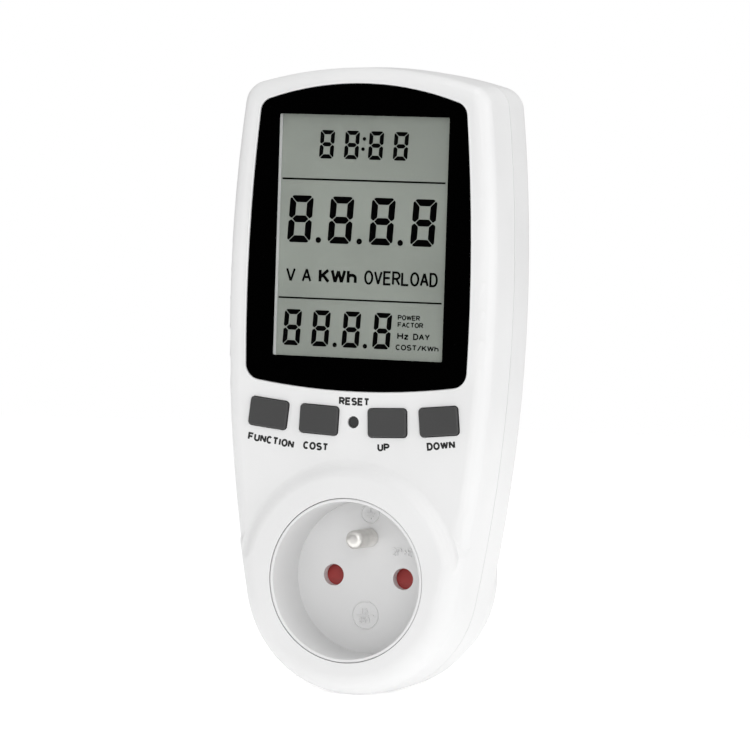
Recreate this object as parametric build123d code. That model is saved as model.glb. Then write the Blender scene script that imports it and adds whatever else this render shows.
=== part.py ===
"""Plug-in power meter: a wall adaptor with a display, four keys, a reset button and a type E outlet.

The frame: the origin is the centre of the plug's face, where its two pins leave it.
X runs across the meter, +Y runs into the wall socket and +Z is up. Sizes are in millimetres.
The outlet, the plug and their pins share the Y axis.
"""

import os
from math import atan2, cos, degrees, hypot, sin, sqrt

from build123d import *

# ---------------------------------------------------------------- standard plug and outlet (type E)
PIN_SPACING = 19.0
PIN_RADIUS = 2.4
PIN_LENGTH = 19.0
PIN_NECK_RADIUS = 2.0
PIN_NECK_PROUD = 0.3
EARTH_PIN_OFFSET = 10.0
EARTH_PIN_RADIUS = 2.4
EARTH_PIN_LENGTH = 10.9
RECESS_RADIUS = 19.8
RECESS_DEPTH = 15.2
ENTRY_RADIUS = 2.75
EARTH_ENTRY_RADIUS = 2.6

# ---------------------------------------------------------------- case, from front to back
RING_HEIGHT = 2.0
FRONT_SHELL_DEPTH = 14.0
REAR_SHELL_DEPTH = 15.0
BOSS_HEIGHT = 6.0
STUB_LENGTH = 18.5
STUB_RADIUS = 18.6
BOSS_RADIUS = 27.5
WALL = 2.0
STUB_FACE_WALL = 4.0
STUB_WALL = 2.0
GUIDE_WIDTH = 5.4
GUIDE_DEPTH = 1.8
CLIP_WIDTH = 8.0
CLIP_THICKNESS = 0.6
CLIP_BOW = 0.9
CLIP_TAIL = 4.0
CLIP_INNER_Z = 14.0

# ---------------------------------------------------------------- case outline, seen from the front
BODY_HALF_WIDTH = 36.6
BODY_WIDEST_Z = 72.0
BOTTOM_RADIUS = 29.5
FOOT_FLAT_Z = -28.9
TOP_Z = 129.0
TOP_ARC_RADIUS = 108.0
BODY_CORNER_RADIUS = 6.5
FRONT_EDGE_RADIUS = 4.0
RING_EDGE_RADIUS = 5.5
REAR_EDGE_RADIUS = 5.0
BOSS_EDGE_RADIUS = 2.5
STUB_EDGE_RADIUS = 1.2
FRONT_DRAFT = 2.5
REAR_DRAFT = 1.5
RING_FLAT_RADIUS = 25.8
RING_FOOT_RADIUS = 30.5
RING_SKIRT_RUN = 3.0

# ---------------------------------------------------------------- joint between the two shells
SHADOW_GAP = 0.2
LIP_HEIGHT = 1.6
LIP_INSET = 1.0
LIP_STEP = 0.15
SLIP = 0.1

# ---------------------------------------------------------------- display panel and window
PANEL_HALF_WIDTH = 30.2
PANEL_WIDEST_Z = 70.0
PANEL_SIDE_RADIUS = 485.0
PANEL_TOP_Z = 124.45
PANEL_TOP_RADIUS = 79.0
PANEL_BOTTOM_Z = 47.4
PANEL_BOTTOM_RADIUS = 180.0
PANEL_TOP_CORNER = 3.5
PANEL_BOTTOM_CORNER = 4.0
LENS_GAP = 0.12
LENS_SUNK = 0.1
LENS_THICKNESS = 1.5
MASK_THICKNESS = 0.1
LEDGE_THICKNESS = 2.0
PAD_BORDER = 1.5
WINDOW_WIDTH = 45.9
WINDOW_HEIGHT = 60.8
WINDOW_Z = 86.1
WINDOW_STEP = -0.1

# ---------------------------------------------------------------- display module
GLASS_WIDTH = 49.2
FRONT_GLASS_HEIGHT = 68.0
REAR_GLASS_HEIGHT = 62.4
GLASS_THICKNESS = 1.1
POLARISER_THICKNESS = 0.2
REFLECTOR_THICKNESS = 0.25
DISPLAY_GAP = 0.1
ZEBRA_LENGTH = 46.0
ZEBRA_WIDTH = 2.0
FRAME_WALL = 1.3
FRAME_GAP = 0.15
BOARD_THICKNESS = 1.6
DISPLAY_BOARD_GAP = 4.85
DISPLAY_BOARD_BOTTOM_Z = 28.5
DISPLAY_BOARD_TOP_Z = 121.8
DISPLAY_BOARD_STEP_Z = 50.0
DISPLAY_BOARD_LOWER_HALF_WIDTH = 28.5
DISPLAY_BOARD_UPPER_HALF_WIDTH = 25.9

# ---------------------------------------------------------------- keys
KEY_WIDTH = 10.35
KEY_HEIGHT = 7.1
KEY_CORNER = 0.9
KEY_PROUD = 0.8
KEY_EDGE_RADIUS = 0.35
KEY_GAP = 0.22
KEY_FLANGE = 0.9
KEY_FLANGE_THICKNESS = 1.0
KEY_ROW_Z = 39.75
KEY_ROW_RADIUS = 225.0
KEY_NAMES_AND_X = (("function", -23.1), ("cost", -9.27), ("up", 9.27), ("down", 23.1))
RESET_Z = 39.7
RESET_RADIUS = 1.3
RESET_SUNK = 0.4
RESET_FLANGE_RADIUS = 2.0
SWITCH_SIZE = 6.0
SWITCH_HEIGHT = 3.5
PLUNGER_RADIUS = 1.75
PLUNGER_PROUD = 0.8
PLUNGER_GAP = 0.05

# ---------------------------------------------------------------- outlet module
CUP_GAP = 0.15
LIP_ROUND = 0.3
CUP_LIP_RADIUS = 20.6
CUP_RADIUS = 21.2
CUP_FLANGE_RADIUS = 23.4
CUP_FLANGE_THICKNESS = 1.7
CUP_SEAT_DEPTH = 2.2
RECESS_FLOOR = 2.4
RECESS_DRAFT = 0.35
SHUTTER_CAVITY = 2.2
SHUTTER_HALF_WIDTH = 12.6
SHUTTER_HALF_HEIGHT = 3.4
SHUTTER_THICKNESS = 2.0
SHUTTER_RAMP = 1.1
SHUTTER_CLEARANCE = 0.1
SHUTTER_TRAVEL = 6.4
SPRING_SEAT_Z = -15.0
SPRING_RADIUS = 0.8
SPRING_WIRE_RADIUS = 0.15
SPRING_TURNS = 12
CARRIER_THICKNESS = 2.0
CARRIER_RADIUS = 20.9
BLOCK_HALF_WIDTH = 14.8
BLOCK_HALF_HEIGHT = 6.0
BLOCK_DEPTH = 12.8
CONTACT_RADIUS = 2.35
CONTACT_WALL = 0.5
CONTACT_LENGTH = 11.0
CONTACT_INSET = 0.6
CONTACT_BACK = 1.0
CONTACT_SLOT = 0.8
TAB_WIDTH = 3.0
TAB_THICKNESS = 0.8
TAB_TOP_Z = 8.5
TAB_INSET = 2.0
CLAMP_RADIUS = 20.4
CLAMP_WALL = 1.8
CLAMP_SLOT_HALF_WIDTH = 13.5

# ---------------------------------------------------------------- plug pins, earth parts and wires
PIN_FLANGE_RADIUS = 3.4
PIN_FLANGE_THICKNESS = 2.0
PIN_SHANK_RADIUS = 2.0
PIN_TAIL = 2.0
PIN_TIP_RADIUS = 1.6
HOLDER_THICKNESS = 3.5
EARTH_SLEEVE_WALL = 0.6
EARTH_SLEEVE_LENGTH = 11.0
EARTH_PIN_TIP_RADIUS = 1.5
EARTH_PIN_SHANK_RADIUS = 1.9
EARTH_PIN_HEAD_RADIUS = 3.2
EARTH_PIN_HEAD = 1.2
EARTH_STRAP_HALF_WIDTH = 2.4
EARTH_STRAP_THICKNESS = 0.8
POWER_WIRE_RADIUS = 1.3
SENSE_WIRE_RADIUS = 0.6
WIRE_BEND_RADIUS = 3.0
WIRE_END_Z = 33.5
WIRE_KNEE_Z = 16.0
WIRE_CROSS_Z = 25.0
WIRE_STAND_OFF = 3.5
PIN_WIRE_STEP = 4.0
PIN_WIRE_KNEE = (7.0, 11.0)
PIN_WIRE_RISE = (20.0, 14.0)

# ---------------------------------------------------------------- fasteners
SCREW_RADIUS = 1.4
SCREW_HEAD_RADIUS = 2.7
SCREW_HEAD_HEIGHT = 2.0
SCREW_LENGTH = 12.0
SCREW_GAP = 0.05
CASE_POSTS = ((-29.2, 108.0), (29.2, 108.0), (-28.0, 25.0), (28.0, 25.0))
POST_RADIUS = 2.8
PILLAR_RADIUS = 4.2
PILLAR_FLOOR = 3.0
HEAD_POCKET_RADIUS = 3.1
BOARD_SCREW_RADIUS = 1.0
BOARD_SCREW_HEAD_RADIUS = 1.9
BOARD_SCREW_HEAD_HEIGHT = 1.3
BOARD_SCREW_LENGTH = 6.0
DISPLAY_BOARD_POSTS = ((-18.0, 31.5), (18.0, 31.5))
MAIN_BOARD_POSTS = ((-24.0, 38.0), (24.0, 38.0), (-24.0, 92.0), (24.0, 92.0))
BOARD_POST_RADIUS = 2.3
CARRIER_SCREWS = ((-10.5, -12.4), (10.5, -12.4), (-10.5, 12.4), (10.5, 12.4))
CARRIER_SCREW_LENGTH = 5.0

# ---------------------------------------------------------------- main board and what is on it
MAIN_BOARD_HALF_WIDTH = 28.0
MAIN_BOARD_BOTTOM_Z = 30.2
MAIN_BOARD_TOP_Z = 96.0
SHUNT_X = (5.0, 15.0)
SHUNT_HEIGHT = 4.0
SHUNT_WIDTH = 2.0
SHUNT_THICKNESS = 1.0
CAPACITOR_SIZE = (18.0, 7.0, 6.0)
CAPACITOR_X = -9.0
CAPACITOR_Z = 60.0
CAPACITOR_LEG_RADIUS = 0.3
ELECTROLYTIC_RADIUS = 4.0
ELECTROLYTIC_HEIGHT = 7.0
ELECTROLYTIC_X = 10.0
ELECTROLYTIC_Z = 62.0
VARISTOR_RADIUS = 5.0
VARISTOR_THICKNESS = 3.6
VARISTOR_X = 19.0
VARISTOR_Z = 50.0
CHIP_SIZE = (10.0, 1.8, 6.0)
CHIP_X = -6.0
CHIP_Z = 45.0
CHIP_LEGS = 10
CHIP_LEG_REACH = 1.0
CHIP_LEG_WIDTH = 0.4
CHIP_LEG_THICKNESS = 0.2
BLOB_RADIUS = 7.0
BLOB_HEIGHT = 1.4
BLOB_Z = 78.0
LINK_HALF_WIDTH = 9.0
LINK_HALF_HEIGHT = 1.25
LINK_Z = 92.0
BATTERY_RADIUS = 6.0
BATTERY_LENGTH = 18.0
BATTERY_Z = 106.0
BATTERY_REAR_GAP = 2.5
CRADLE_X = 6.0
CRADLE_THICKNESS = 1.6
CRADLE_HALF_HEIGHT = 7.5
LEAD_RADIUS = 0.5
LEAD_BEND_RADIUS = 1.5

# ---------------------------------------------------------------- planes across the meter, front to back
Y_BOSS = -STUB_LENGTH
Y_BACK = Y_BOSS - BOSS_HEIGHT
Y_PART = Y_BACK - REAR_SHELL_DEPTH
Y_FACE = Y_PART - FRONT_SHELL_DEPTH
Y_RING = Y_FACE - RING_HEIGHT
Y_LENS_BACK = Y_FACE + LENS_THICKNESS
Y_MASK_BACK = Y_LENS_BACK + MASK_THICKNESS
Y_LEDGE_BACK = Y_MASK_BACK + LEDGE_THICKNESS
Y_GLASS = Y_LEDGE_BACK + DISPLAY_GAP + POLARISER_THICKNESS
Y_DISPLAY_BOARD = Y_LEDGE_BACK + DISPLAY_BOARD_GAP
Y_DISPLAY_BOARD_BACK = Y_DISPLAY_BOARD + BOARD_THICKNESS
Y_MAIN_BOARD = Y_PART + 4.0
Y_MAIN_BOARD_BACK = Y_MAIN_BOARD + BOARD_THICKNESS
Y_BACK_INSIDE = Y_BACK - WALL
Y_FLOOR = Y_RING + RECESS_DEPTH
Y_FLOOR_BACK = Y_FLOOR + RECESS_FLOOR
Y_CARRIER = Y_FLOOR_BACK + SHUTTER_CAVITY
Y_CARRIER_BACK = Y_CARRIER + CARRIER_THICKNESS
Y_BLOCK_BACK = Y_CARRIER_BACK + BLOCK_DEPTH
Y_BOSS_INSIDE = Y_BOSS - WALL
Y_PIN_ROOT = -STUB_FACE_WALL
Y_HOLDER = Y_PIN_ROOT - PIN_FLANGE_THICKNESS
Y_HOLDER_FRONT = Y_HOLDER - HOLDER_THICKNESS
Y_CONTACT = Y_CARRIER_BACK + CONTACT_INSET
Y_CONTACT_BACK = Y_CONTACT + CONTACT_LENGTH
Y_SWITCH = Y_DISPLAY_BOARD - SWITCH_HEIGHT
Y_PLUNGER = Y_SWITCH - PLUNGER_PROUD

PIN_X = PIN_SPACING / 2


# ---------------------------------------------------------------- construction helpers
def front_plane(y):
    """A plane facing the front at depth y, whose local x and y are the meter's X and Z."""
    return Plane(origin=(0, y, 0), x_dir=(1, 0, 0), z_dir=(0, -1, 0))


def slab(sketch, y_front, y_back):
    """A front-view sketch given thickness from y_front to y_back."""
    return extrude(front_plane(y_back) * sketch, amount=y_back - y_front)


def disc(radius, y_front, y_back, x=0.0, z=0.0):
    """A cylinder along Y."""
    return slab(Pos(x, z) * Circle(radius), y_front, y_back)


def tube(outer, inner, y_front, y_back, x=0.0, z=0.0):
    """A tube along Y."""
    return slab(Pos(x, z) * (Circle(outer) - Circle(inner)), y_front, y_back)


def block(x0, x1, y0, y1, z0, z1):
    """A box between two corners."""
    return Pos((x0 + x1) / 2, (y0 + y1) / 2, (z0 + z1) / 2) * Box(x1 - x0, y1 - y0, z1 - z0)


def rounded_rod(radius, y_front, y_back, tip_radius, x=0.0, z=0.0):
    """A cylinder along Y whose end at y_back is rounded."""
    rod = disc(radius, y_front, y_back, x, z)
    return fillet(rod.faces().sort_by(Axis.Y)[-1].edges(), tip_radius)


def wire_through(points, radius, bend_radius):
    """A round wire along a path with rounded corners."""
    path = FilletPolyline(*points, radius=bend_radius)
    return sweep(Plane(origin=path @ 0, z_dir=path % 0) * Circle(radius), path=path)


def screw(x, z, y_head, length, toward, shank_radius, head_radius, head_height):
    """A cross-head screw along Y: its head sits at y_head and its shank runs toward -1 or +1."""
    near, far = sorted((y_head, y_head - toward * head_height))
    head = disc(head_radius, near, far, x, z)
    outer_face = head.faces().sort_by(Axis.Y)[-1 if toward < 0 else 0]
    head = fillet(outer_face.edges(), head_height / 3)
    near, far = sorted((y_head, y_head + toward * length))
    shank = disc(shank_radius, near, far, x, z)
    slot_near, slot_far = sorted((y_head - toward * head_height / 2, y_head - 2 * toward * head_height))
    reach, half = head_radius * 0.6, head_radius * 0.14
    cross = block(x - reach, x + reach, slot_near, slot_far, z - half, z + half)
    cross += block(x - half, x + half, slot_near, slot_far, z - reach, z + reach)
    return head + shank - cross


def joined(solids):
    """Separate solids of one node, kept in one compound."""
    return Compound(children=[piece for solid in solids for piece in solid.solids()])


# ---------------------------------------------------------------- outlines
def circles_meet(centre_a, radius_a, centre_b, radius_b):
    """The point with the larger x of the two where circles a and b cross."""
    dx, dz = centre_b[0] - centre_a[0], centre_b[1] - centre_a[1]
    apart = hypot(dx, dz)
    along = (radius_a**2 - radius_b**2 + apart**2) / (2 * apart)
    aside = sqrt(radius_a**2 - along**2)
    foot = (centre_a[0] + along * dx / apart, centre_a[1] + along * dz / apart)
    step = (aside * dz / apart, -aside * dx / apart)
    return max((foot[0] + step[0], foot[1] + step[1]), (foot[0] - step[0], foot[1] - step[1]))


def arcs_on_both_sides(centre, radius, low, high):
    """The right-hand arc of an outline between two of its points, and its mirror image."""
    chord = ((low[0] + high[0]) / 2 - centre[0], (low[1] + high[1]) / 2 - centre[1])
    scale = radius / hypot(*chord)
    middle = (centre[0] + chord[0] * scale, centre[1] + chord[1] * scale)
    points = (low, middle, high)
    return [ThreePointArc(*points), ThreePointArc(*[(-x, z) for x, z in points])]


def arc_across(point, middle_z):
    """An arc that crosses X = 0 between a point and its mirror image."""
    return ThreePointArc((-point[0], point[1]), (0, middle_z), point)


def body_outline(inset=0.0):
    """The case seen from the front: a round bottom, two long side arcs and a crowned top."""
    gain = BODY_HALF_WIDTH - BOTTOM_RADIUS
    side_radius = (BODY_HALF_WIDTH**2 + BODY_WIDEST_Z**2 - BOTTOM_RADIUS**2) / (2 * gain)
    side_centre = (BODY_HALF_WIDTH - side_radius, BODY_WIDEST_Z)
    top_centre = (0.0, TOP_Z - TOP_ARC_RADIUS)
    turn = atan2(-side_centre[1], -side_centre[0])
    bottom = BOTTOM_RADIUS - inset
    low = (bottom * cos(turn), bottom * sin(turn))
    high = circles_meet(side_centre, side_radius - inset, top_centre, TOP_ARC_RADIUS - inset)
    sides = arcs_on_both_sides(side_centre, side_radius - inset, low, high)
    face = make_face([*sides, arc_across(low, -bottom), arc_across(high, TOP_Z - inset)])
    corners = face.vertices().sort_by(Axis.Y)[-2:]
    return fillet(corners, BODY_CORNER_RADIUS - inset)


def panel_outline(grow=0.0):
    """The display panel seen from the front: four shallow arcs with rounded corners."""
    side_centre = (PANEL_HALF_WIDTH - PANEL_SIDE_RADIUS, PANEL_WIDEST_Z)
    side_radius = PANEL_SIDE_RADIUS + grow
    top_centre = (0.0, PANEL_TOP_Z - PANEL_TOP_RADIUS)
    bottom_centre = (0.0, PANEL_BOTTOM_Z + PANEL_BOTTOM_RADIUS)
    high = circles_meet(side_centre, side_radius, top_centre, PANEL_TOP_RADIUS + grow)
    low = circles_meet(bottom_centre, PANEL_BOTTOM_RADIUS + grow, side_centre, side_radius)
    sides = arcs_on_both_sides(side_centre, side_radius, low, high)
    ends = [arc_across(low, PANEL_BOTTOM_Z - grow), arc_across(high, PANEL_TOP_Z + grow)]
    face = make_face([*sides, *ends])
    face = fillet(face.vertices().sort_by(Axis.Y)[-2:], PANEL_TOP_CORNER + grow)
    return fillet(face.vertices().sort_by(Axis.Y)[:2], PANEL_BOTTOM_CORNER + grow)


def envelope(inset, y_front, draft, edge_radius):
    """The body outline drawn forward from the parting plane with draft, its front edge rounded."""
    solid = extrude(front_plane(Y_PART) * body_outline(inset), amount=Y_PART - y_front, taper=draft)
    return fillet(solid.faces().sort_by(Axis.Y)[0].edges(), edge_radius)


def rear_envelope(inset, draft, edge_radius):
    """The same outline drawn backward from the parting plane."""
    front = envelope(inset, Y_PART - REAR_SHELL_DEPTH + inset, draft, edge_radius)
    return mirror(front, about=Plane(origin=(0, Y_PART, 0), z_dir=(0, 1, 0)))


def key_place(x):
    """The place of a key's centre on the curved row, turned to lie along the row."""
    rise = KEY_ROW_RADIUS - sqrt(KEY_ROW_RADIUS**2 - x**2)
    return Pos(x, KEY_ROW_Z + rise) * Rot(0, 0, degrees(atan2(x, KEY_ROW_RADIUS - rise)))


def key_shape(grow=0.0):
    """A key's rounded rectangle."""
    return RectangleRounded(KEY_WIDTH + 2 * grow, KEY_HEIGHT + 2 * grow, KEY_CORNER + grow)


def stub_cavity():
    """The inside of the plug stub seen from the front, narrowed behind its grooves and recesses."""
    inside = STUB_RADIUS - STUB_WALL
    shape = Circle(inside)
    guide = STUB_RADIUS - GUIDE_DEPTH - STUB_WALL
    for side in (-1, 1):
        shape -= Pos(side * (guide + inside), 0) * Rectangle(2 * inside, GUIDE_WIDTH + 2 * STUB_WALL)
        shape -= Pos(0, side * (guide + inside)) * Rectangle(CLIP_WIDTH + 2 * STUB_WALL, 2 * inside)
    return shape


# ---------------------------------------------------------------- case
def outlet_ring():
    """The raised ring round the outlet: flat, then an S-curve down to the face, then a short skirt."""
    skirt_y = Y_FACE + FRONT_EDGE_RADIUS + WALL / 4
    middle = ((RING_FLAT_RADIUS + RING_FOOT_RADIUS) / 2, (Y_RING + Y_FACE) / 2)
    curve = Spline(
        (RING_FLAT_RADIUS, Y_RING),
        middle,
        (RING_FOOT_RADIUS, Y_FACE),
        tangents=((1, 0), (1, 0)),
    )
    rest = Polyline(
        (RING_FOOT_RADIUS, Y_FACE),
        (RING_FOOT_RADIUS + RING_SKIRT_RUN, skirt_y),
        (0, skirt_y),
        (0, Y_RING),
        (RING_FLAT_RADIUS, Y_RING),
    )
    solid = revolve(make_face([curve, *rest.edges()]), Axis.Y, 360)
    return solid & envelope(0.0, Y_RING, FRONT_DRAFT, RING_EDGE_RADIUS)


def foot_cut():
    """What is cut away to leave a small flat under the case."""
    low = FOOT_FLAT_Z - BOTTOM_RADIUS
    return block(-BODY_HALF_WIDTH, BODY_HALF_WIDTH, Y_RING - 1, Y_BOSS + 1, low, FOOT_FLAT_Z)


def front_posts(outer):
    """The posts that take the case screws and the display board's screws."""
    posts = disc(POST_RADIUS, Y_FACE + WALL / 2, Y_PART, *CASE_POSTS[0])
    for x, z in CASE_POSTS[1:]:
        posts += disc(POST_RADIUS, Y_FACE + WALL / 2, Y_PART, x, z)
    for x, z in DISPLAY_BOARD_POSTS:
        posts += disc(BOARD_POST_RADIUS, Y_FACE + WALL / 2, Y_DISPLAY_BOARD, x, z)
    return posts & outer


def front_openings():
    """Everything cut through the front shell's face."""
    window = RectangleRounded(WINDOW_WIDTH - 2 * WINDOW_STEP, WINDOW_HEIGHT - 2 * WINDOW_STEP, 0.3)
    cut = slab(panel_outline(LENS_GAP), Y_RING, Y_MASK_BACK)
    cut += slab(Pos(0, WINDOW_Z) * window, Y_RING, Y_LEDGE_BACK + 1)
    for _, x in KEY_NAMES_AND_X:
        cut += slab(key_place(x) * key_shape(KEY_GAP), Y_RING, Y_FACE + WALL + 1)
    cut += disc(RESET_RADIUS + KEY_GAP, Y_RING, Y_FACE + WALL + 1, 0, RESET_Z)
    cut += disc(CUP_LIP_RADIUS + CUP_GAP, Y_RING - 1, Y_PART)
    cut += disc(CUP_FLANGE_RADIUS + CUP_GAP, Y_RING + CUP_SEAT_DEPTH, Y_PART)
    return cut


def front_pilots():
    """The pilot holes in the front shell's posts."""
    case_end = Y_PART + PILLAR_FLOOR - SCREW_LENGTH
    board_end = Y_DISPLAY_BOARD_BACK - BOARD_SCREW_LENGTH
    cut = [disc(SCREW_RADIUS + SCREW_GAP, case_end, Y_PART + 1, x, z) for x, z in CASE_POSTS]
    pilot = BOARD_SCREW_RADIUS + SCREW_GAP
    cut += [disc(pilot, board_end, Y_DISPLAY_BOARD + 1, x, z) for x, z in DISPLAY_BOARD_POSTS]
    return cut


def front_housing():
    """The front shell with its panel pocket, window, key openings, outlet opening and posts."""
    rim_y = Y_PART - SHADOW_GAP / 2
    outer = envelope(0.0, Y_FACE, FRONT_DRAFT, FRONT_EDGE_RADIUS) + outlet_ring()
    shell = outer - envelope(WALL, Y_FACE + WALL, FRONT_DRAFT, FRONT_EDGE_RADIUS - WALL)
    shell -= slab(body_outline(LIP_INSET), rim_y - LIP_HEIGHT, Y_PART + 1)
    shell -= slab(body_outline(-1), rim_y, Y_PART + 1)
    shell += slab(panel_outline(PAD_BORDER), Y_FACE + WALL / 2, Y_LEDGE_BACK) & outer
    shell += front_posts(outer)
    shell -= front_openings()
    for pilot in front_pilots():
        shell -= pilot
    return shell - foot_cut()


def plug_stub():
    """The round plug standing out of the rear shell, with guide grooves and earth clip recesses."""
    stub = rounded_rod(STUB_RADIUS, Y_BOSS - WALL, 0, STUB_EDGE_RADIUS)
    reach = STUB_RADIUS - GUIDE_DEPTH
    for side in (-1, 1):
        near, far = sorted((side * reach, side * (STUB_RADIUS + 1)))
        stub -= block(near, far, Y_BOSS, 1, -GUIDE_WIDTH / 2, GUIDE_WIDTH / 2)
        stub -= block(-CLIP_WIDTH / 2, CLIP_WIDTH / 2, Y_BOSS, 1, near, far)
    return stub


def rear_cavities():
    """Everything hollow in the rear shell."""
    cut = rear_envelope(WALL, REAR_DRAFT, REAR_EDGE_RADIUS - WALL)
    cut += disc(BOSS_RADIUS - WALL, Y_PART, Y_BOSS_INSIDE)
    return cut + slab(stub_cavity(), Y_PART, Y_PIN_ROOT)


def rear_fittings(outer):
    """Screw pillars, board posts, battery cradle and the tube that clamps the outlet module."""
    parts = [disc(PILLAR_RADIUS, Y_PART, Y_BACK, x, z) & outer for x, z in CASE_POSTS]
    post_end = Y_BACK - WALL / 2
    parts += [disc(BOARD_POST_RADIUS, Y_MAIN_BOARD_BACK, post_end, x, z) for x, z in MAIN_BOARD_POSTS]
    clamp = tube(CLAMP_RADIUS, CLAMP_RADIUS - CLAMP_WALL, Y_CARRIER_BACK, Y_BOSS_INSIDE + WALL / 2)
    half = CLAMP_SLOT_HALF_WIDTH
    parts.append(clamp - block(-half, half, Y_CARRIER_BACK - 1, Y_BOSS_INSIDE, 0, CLAMP_RADIUS + 1))
    battery_y = Y_BACK_INSIDE - BATTERY_REAR_GAP - BATTERY_RADIUS
    low, high = BATTERY_Z - CRADLE_HALF_HEIGHT, BATTERY_Z + CRADLE_HALF_HEIGHT
    for x in (-CRADLE_X, CRADLE_X):
        half = CRADLE_THICKNESS / 2
        parts.append(block(x - half, x + half, battery_y, post_end, low, high) - battery())
    return parts


def rear_drillings():
    """Holes for screws and pins, and slots for the tails of the earth clips."""
    cut = []
    for x, z in CASE_POSTS:
        cut.append(disc(HEAD_POCKET_RADIUS, Y_PART + PILLAR_FLOOR, Y_BACK + 1, x, z))
        cut.append(disc(SCREW_RADIUS + SCREW_GAP, Y_PART - 1, Y_BACK, x, z))
    pilot_end = Y_MAIN_BOARD + BOARD_SCREW_LENGTH
    for x, z in MAIN_BOARD_POSTS:
        cut.append(disc(BOARD_SCREW_RADIUS + SCREW_GAP, Y_MAIN_BOARD, pilot_end, x, z))
    for side in (-1, 1):
        cut.append(disc(PIN_NECK_RADIUS, Y_PIN_ROOT - 1, 1, side * PIN_X, 0))
    cut.append(disc(EARTH_ENTRY_RADIUS, Y_PIN_ROOT - 1, 1, 0, EARTH_PIN_OFFSET))
    half = CLIP_TAIL / 2
    cut.append(block(-half, half, Y_BOSS, Y_BOSS + CLIP_THICKNESS, -STUB_RADIUS, STUB_RADIUS))
    return cut


def rear_housing():
    """The rear shell with its boss, plug stub, screw pillars, board posts and battery cradle."""
    rim_y = Y_PART + SHADOW_GAP / 2
    outer = rear_envelope(0.0, REAR_DRAFT, REAR_EDGE_RADIUS)
    boss = rounded_rod(BOSS_RADIUS, Y_BACK - WALL, Y_BOSS, BOSS_EDGE_RADIUS)
    shell = outer + boss + plug_stub() - rear_cavities()
    shell -= slab(body_outline(-1), Y_PART - 1, rim_y)
    lip = body_outline(LIP_INSET + SLIP) - body_outline(WALL - LIP_STEP)
    shell += slab(lip, Y_PART - SHADOW_GAP / 2 - LIP_HEIGHT, rim_y + WALL / 2)
    for fitting in rear_fittings(outer):
        shell += fitting
    for hole in rear_drillings():
        shell -= hole
    return shell - foot_cut()


# ---------------------------------------------------------------- display panel and display module
def panel_lens():
    """The clear panel over the display, flush with the face."""
    lens = slab(panel_outline(), Y_FACE + LENS_SUNK, Y_LENS_BACK)
    return chamfer(lens.faces().sort_by(Axis.Y)[0].edges(), LENS_SUNK)


def panel_mask():
    """The black print behind the clear panel, with the display's window in it."""
    window = Pos(0, WINDOW_Z) * RectangleRounded(WINDOW_WIDTH, WINDOW_HEIGHT, 0.4)
    return slab(panel_outline() - window, Y_LENS_BACK, Y_MASK_BACK)


def display_sheet(width, height, y_front, thickness):
    """A rectangular sheet of the display, centred on the window."""
    return slab(Pos(0, WINDOW_Z) * Rectangle(width, height), y_front, y_front + thickness)


def lcd_polariser():
    """The front polarising film."""
    y = Y_GLASS - POLARISER_THICKNESS
    return display_sheet(GLASS_WIDTH - 1, REAR_GLASS_HEIGHT, y, POLARISER_THICKNESS)


def lcd_front_glass():
    """The front glass, longer than the rear glass so that its edges meet the rubber connectors."""
    return display_sheet(GLASS_WIDTH, FRONT_GLASS_HEIGHT, Y_GLASS, GLASS_THICKNESS)


def lcd_rear_glass():
    """The rear glass."""
    return display_sheet(GLASS_WIDTH, REAR_GLASS_HEIGHT, Y_GLASS + GLASS_THICKNESS, GLASS_THICKNESS)


def lcd_reflector():
    """The rear polariser with its grey reflector."""
    y = Y_GLASS + 2 * GLASS_THICKNESS
    return display_sheet(GLASS_WIDTH - 1, REAR_GLASS_HEIGHT - 1, y, REFLECTOR_THICKNESS)


def zebra_strips():
    """The two conductive rubber strips between the front glass and the display board."""
    offset = (FRONT_GLASS_HEIGHT + REAR_GLASS_HEIGHT) / 4
    shape = Rectangle(ZEBRA_LENGTH, ZEBRA_WIDTH)
    places = (Pos(0, WINDOW_Z - offset), Pos(0, WINDOW_Z + offset))
    return joined([slab(p * shape, Y_GLASS + GLASS_THICKNESS, Y_DISPLAY_BOARD) for p in places])


def lcd_frame():
    """The frame that holds glass and rubber strips square on the display board."""
    inside = (GLASS_WIDTH + 2 * FRAME_GAP, FRONT_GLASS_HEIGHT + 2 * FRAME_GAP)
    outside = (inside[0] + 2 * FRAME_WALL, inside[1] + 2 * FRAME_WALL)
    ring = RectangleRounded(*outside, FRAME_WALL) - Rectangle(*inside)
    return slab(Pos(0, WINDOW_Z) * ring, Y_LEDGE_BACK, Y_DISPLAY_BOARD)


def display_board():
    """The circuit board behind the display and the keys, narrowed beside the upper case posts."""
    lower_height = DISPLAY_BOARD_STEP_Z - DISPLAY_BOARD_BOTTOM_Z
    upper_height = DISPLAY_BOARD_TOP_Z - DISPLAY_BOARD_STEP_Z
    lower = Rectangle(2 * DISPLAY_BOARD_LOWER_HALF_WIDTH, lower_height, align=(Align.CENTER, Align.MIN))
    upper = Rectangle(2 * DISPLAY_BOARD_UPPER_HALF_WIDTH, upper_height, align=(Align.CENTER, Align.MIN))
    shape = Pos(0, DISPLAY_BOARD_BOTTOM_Z) * lower + Pos(0, DISPLAY_BOARD_STEP_Z) * upper
    for x, z in DISPLAY_BOARD_POSTS:
        shape -= Pos(x, z) * Circle(BOARD_SCREW_RADIUS + SCREW_GAP)
    return slab(shape, Y_DISPLAY_BOARD, Y_DISPLAY_BOARD_BACK)


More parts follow.
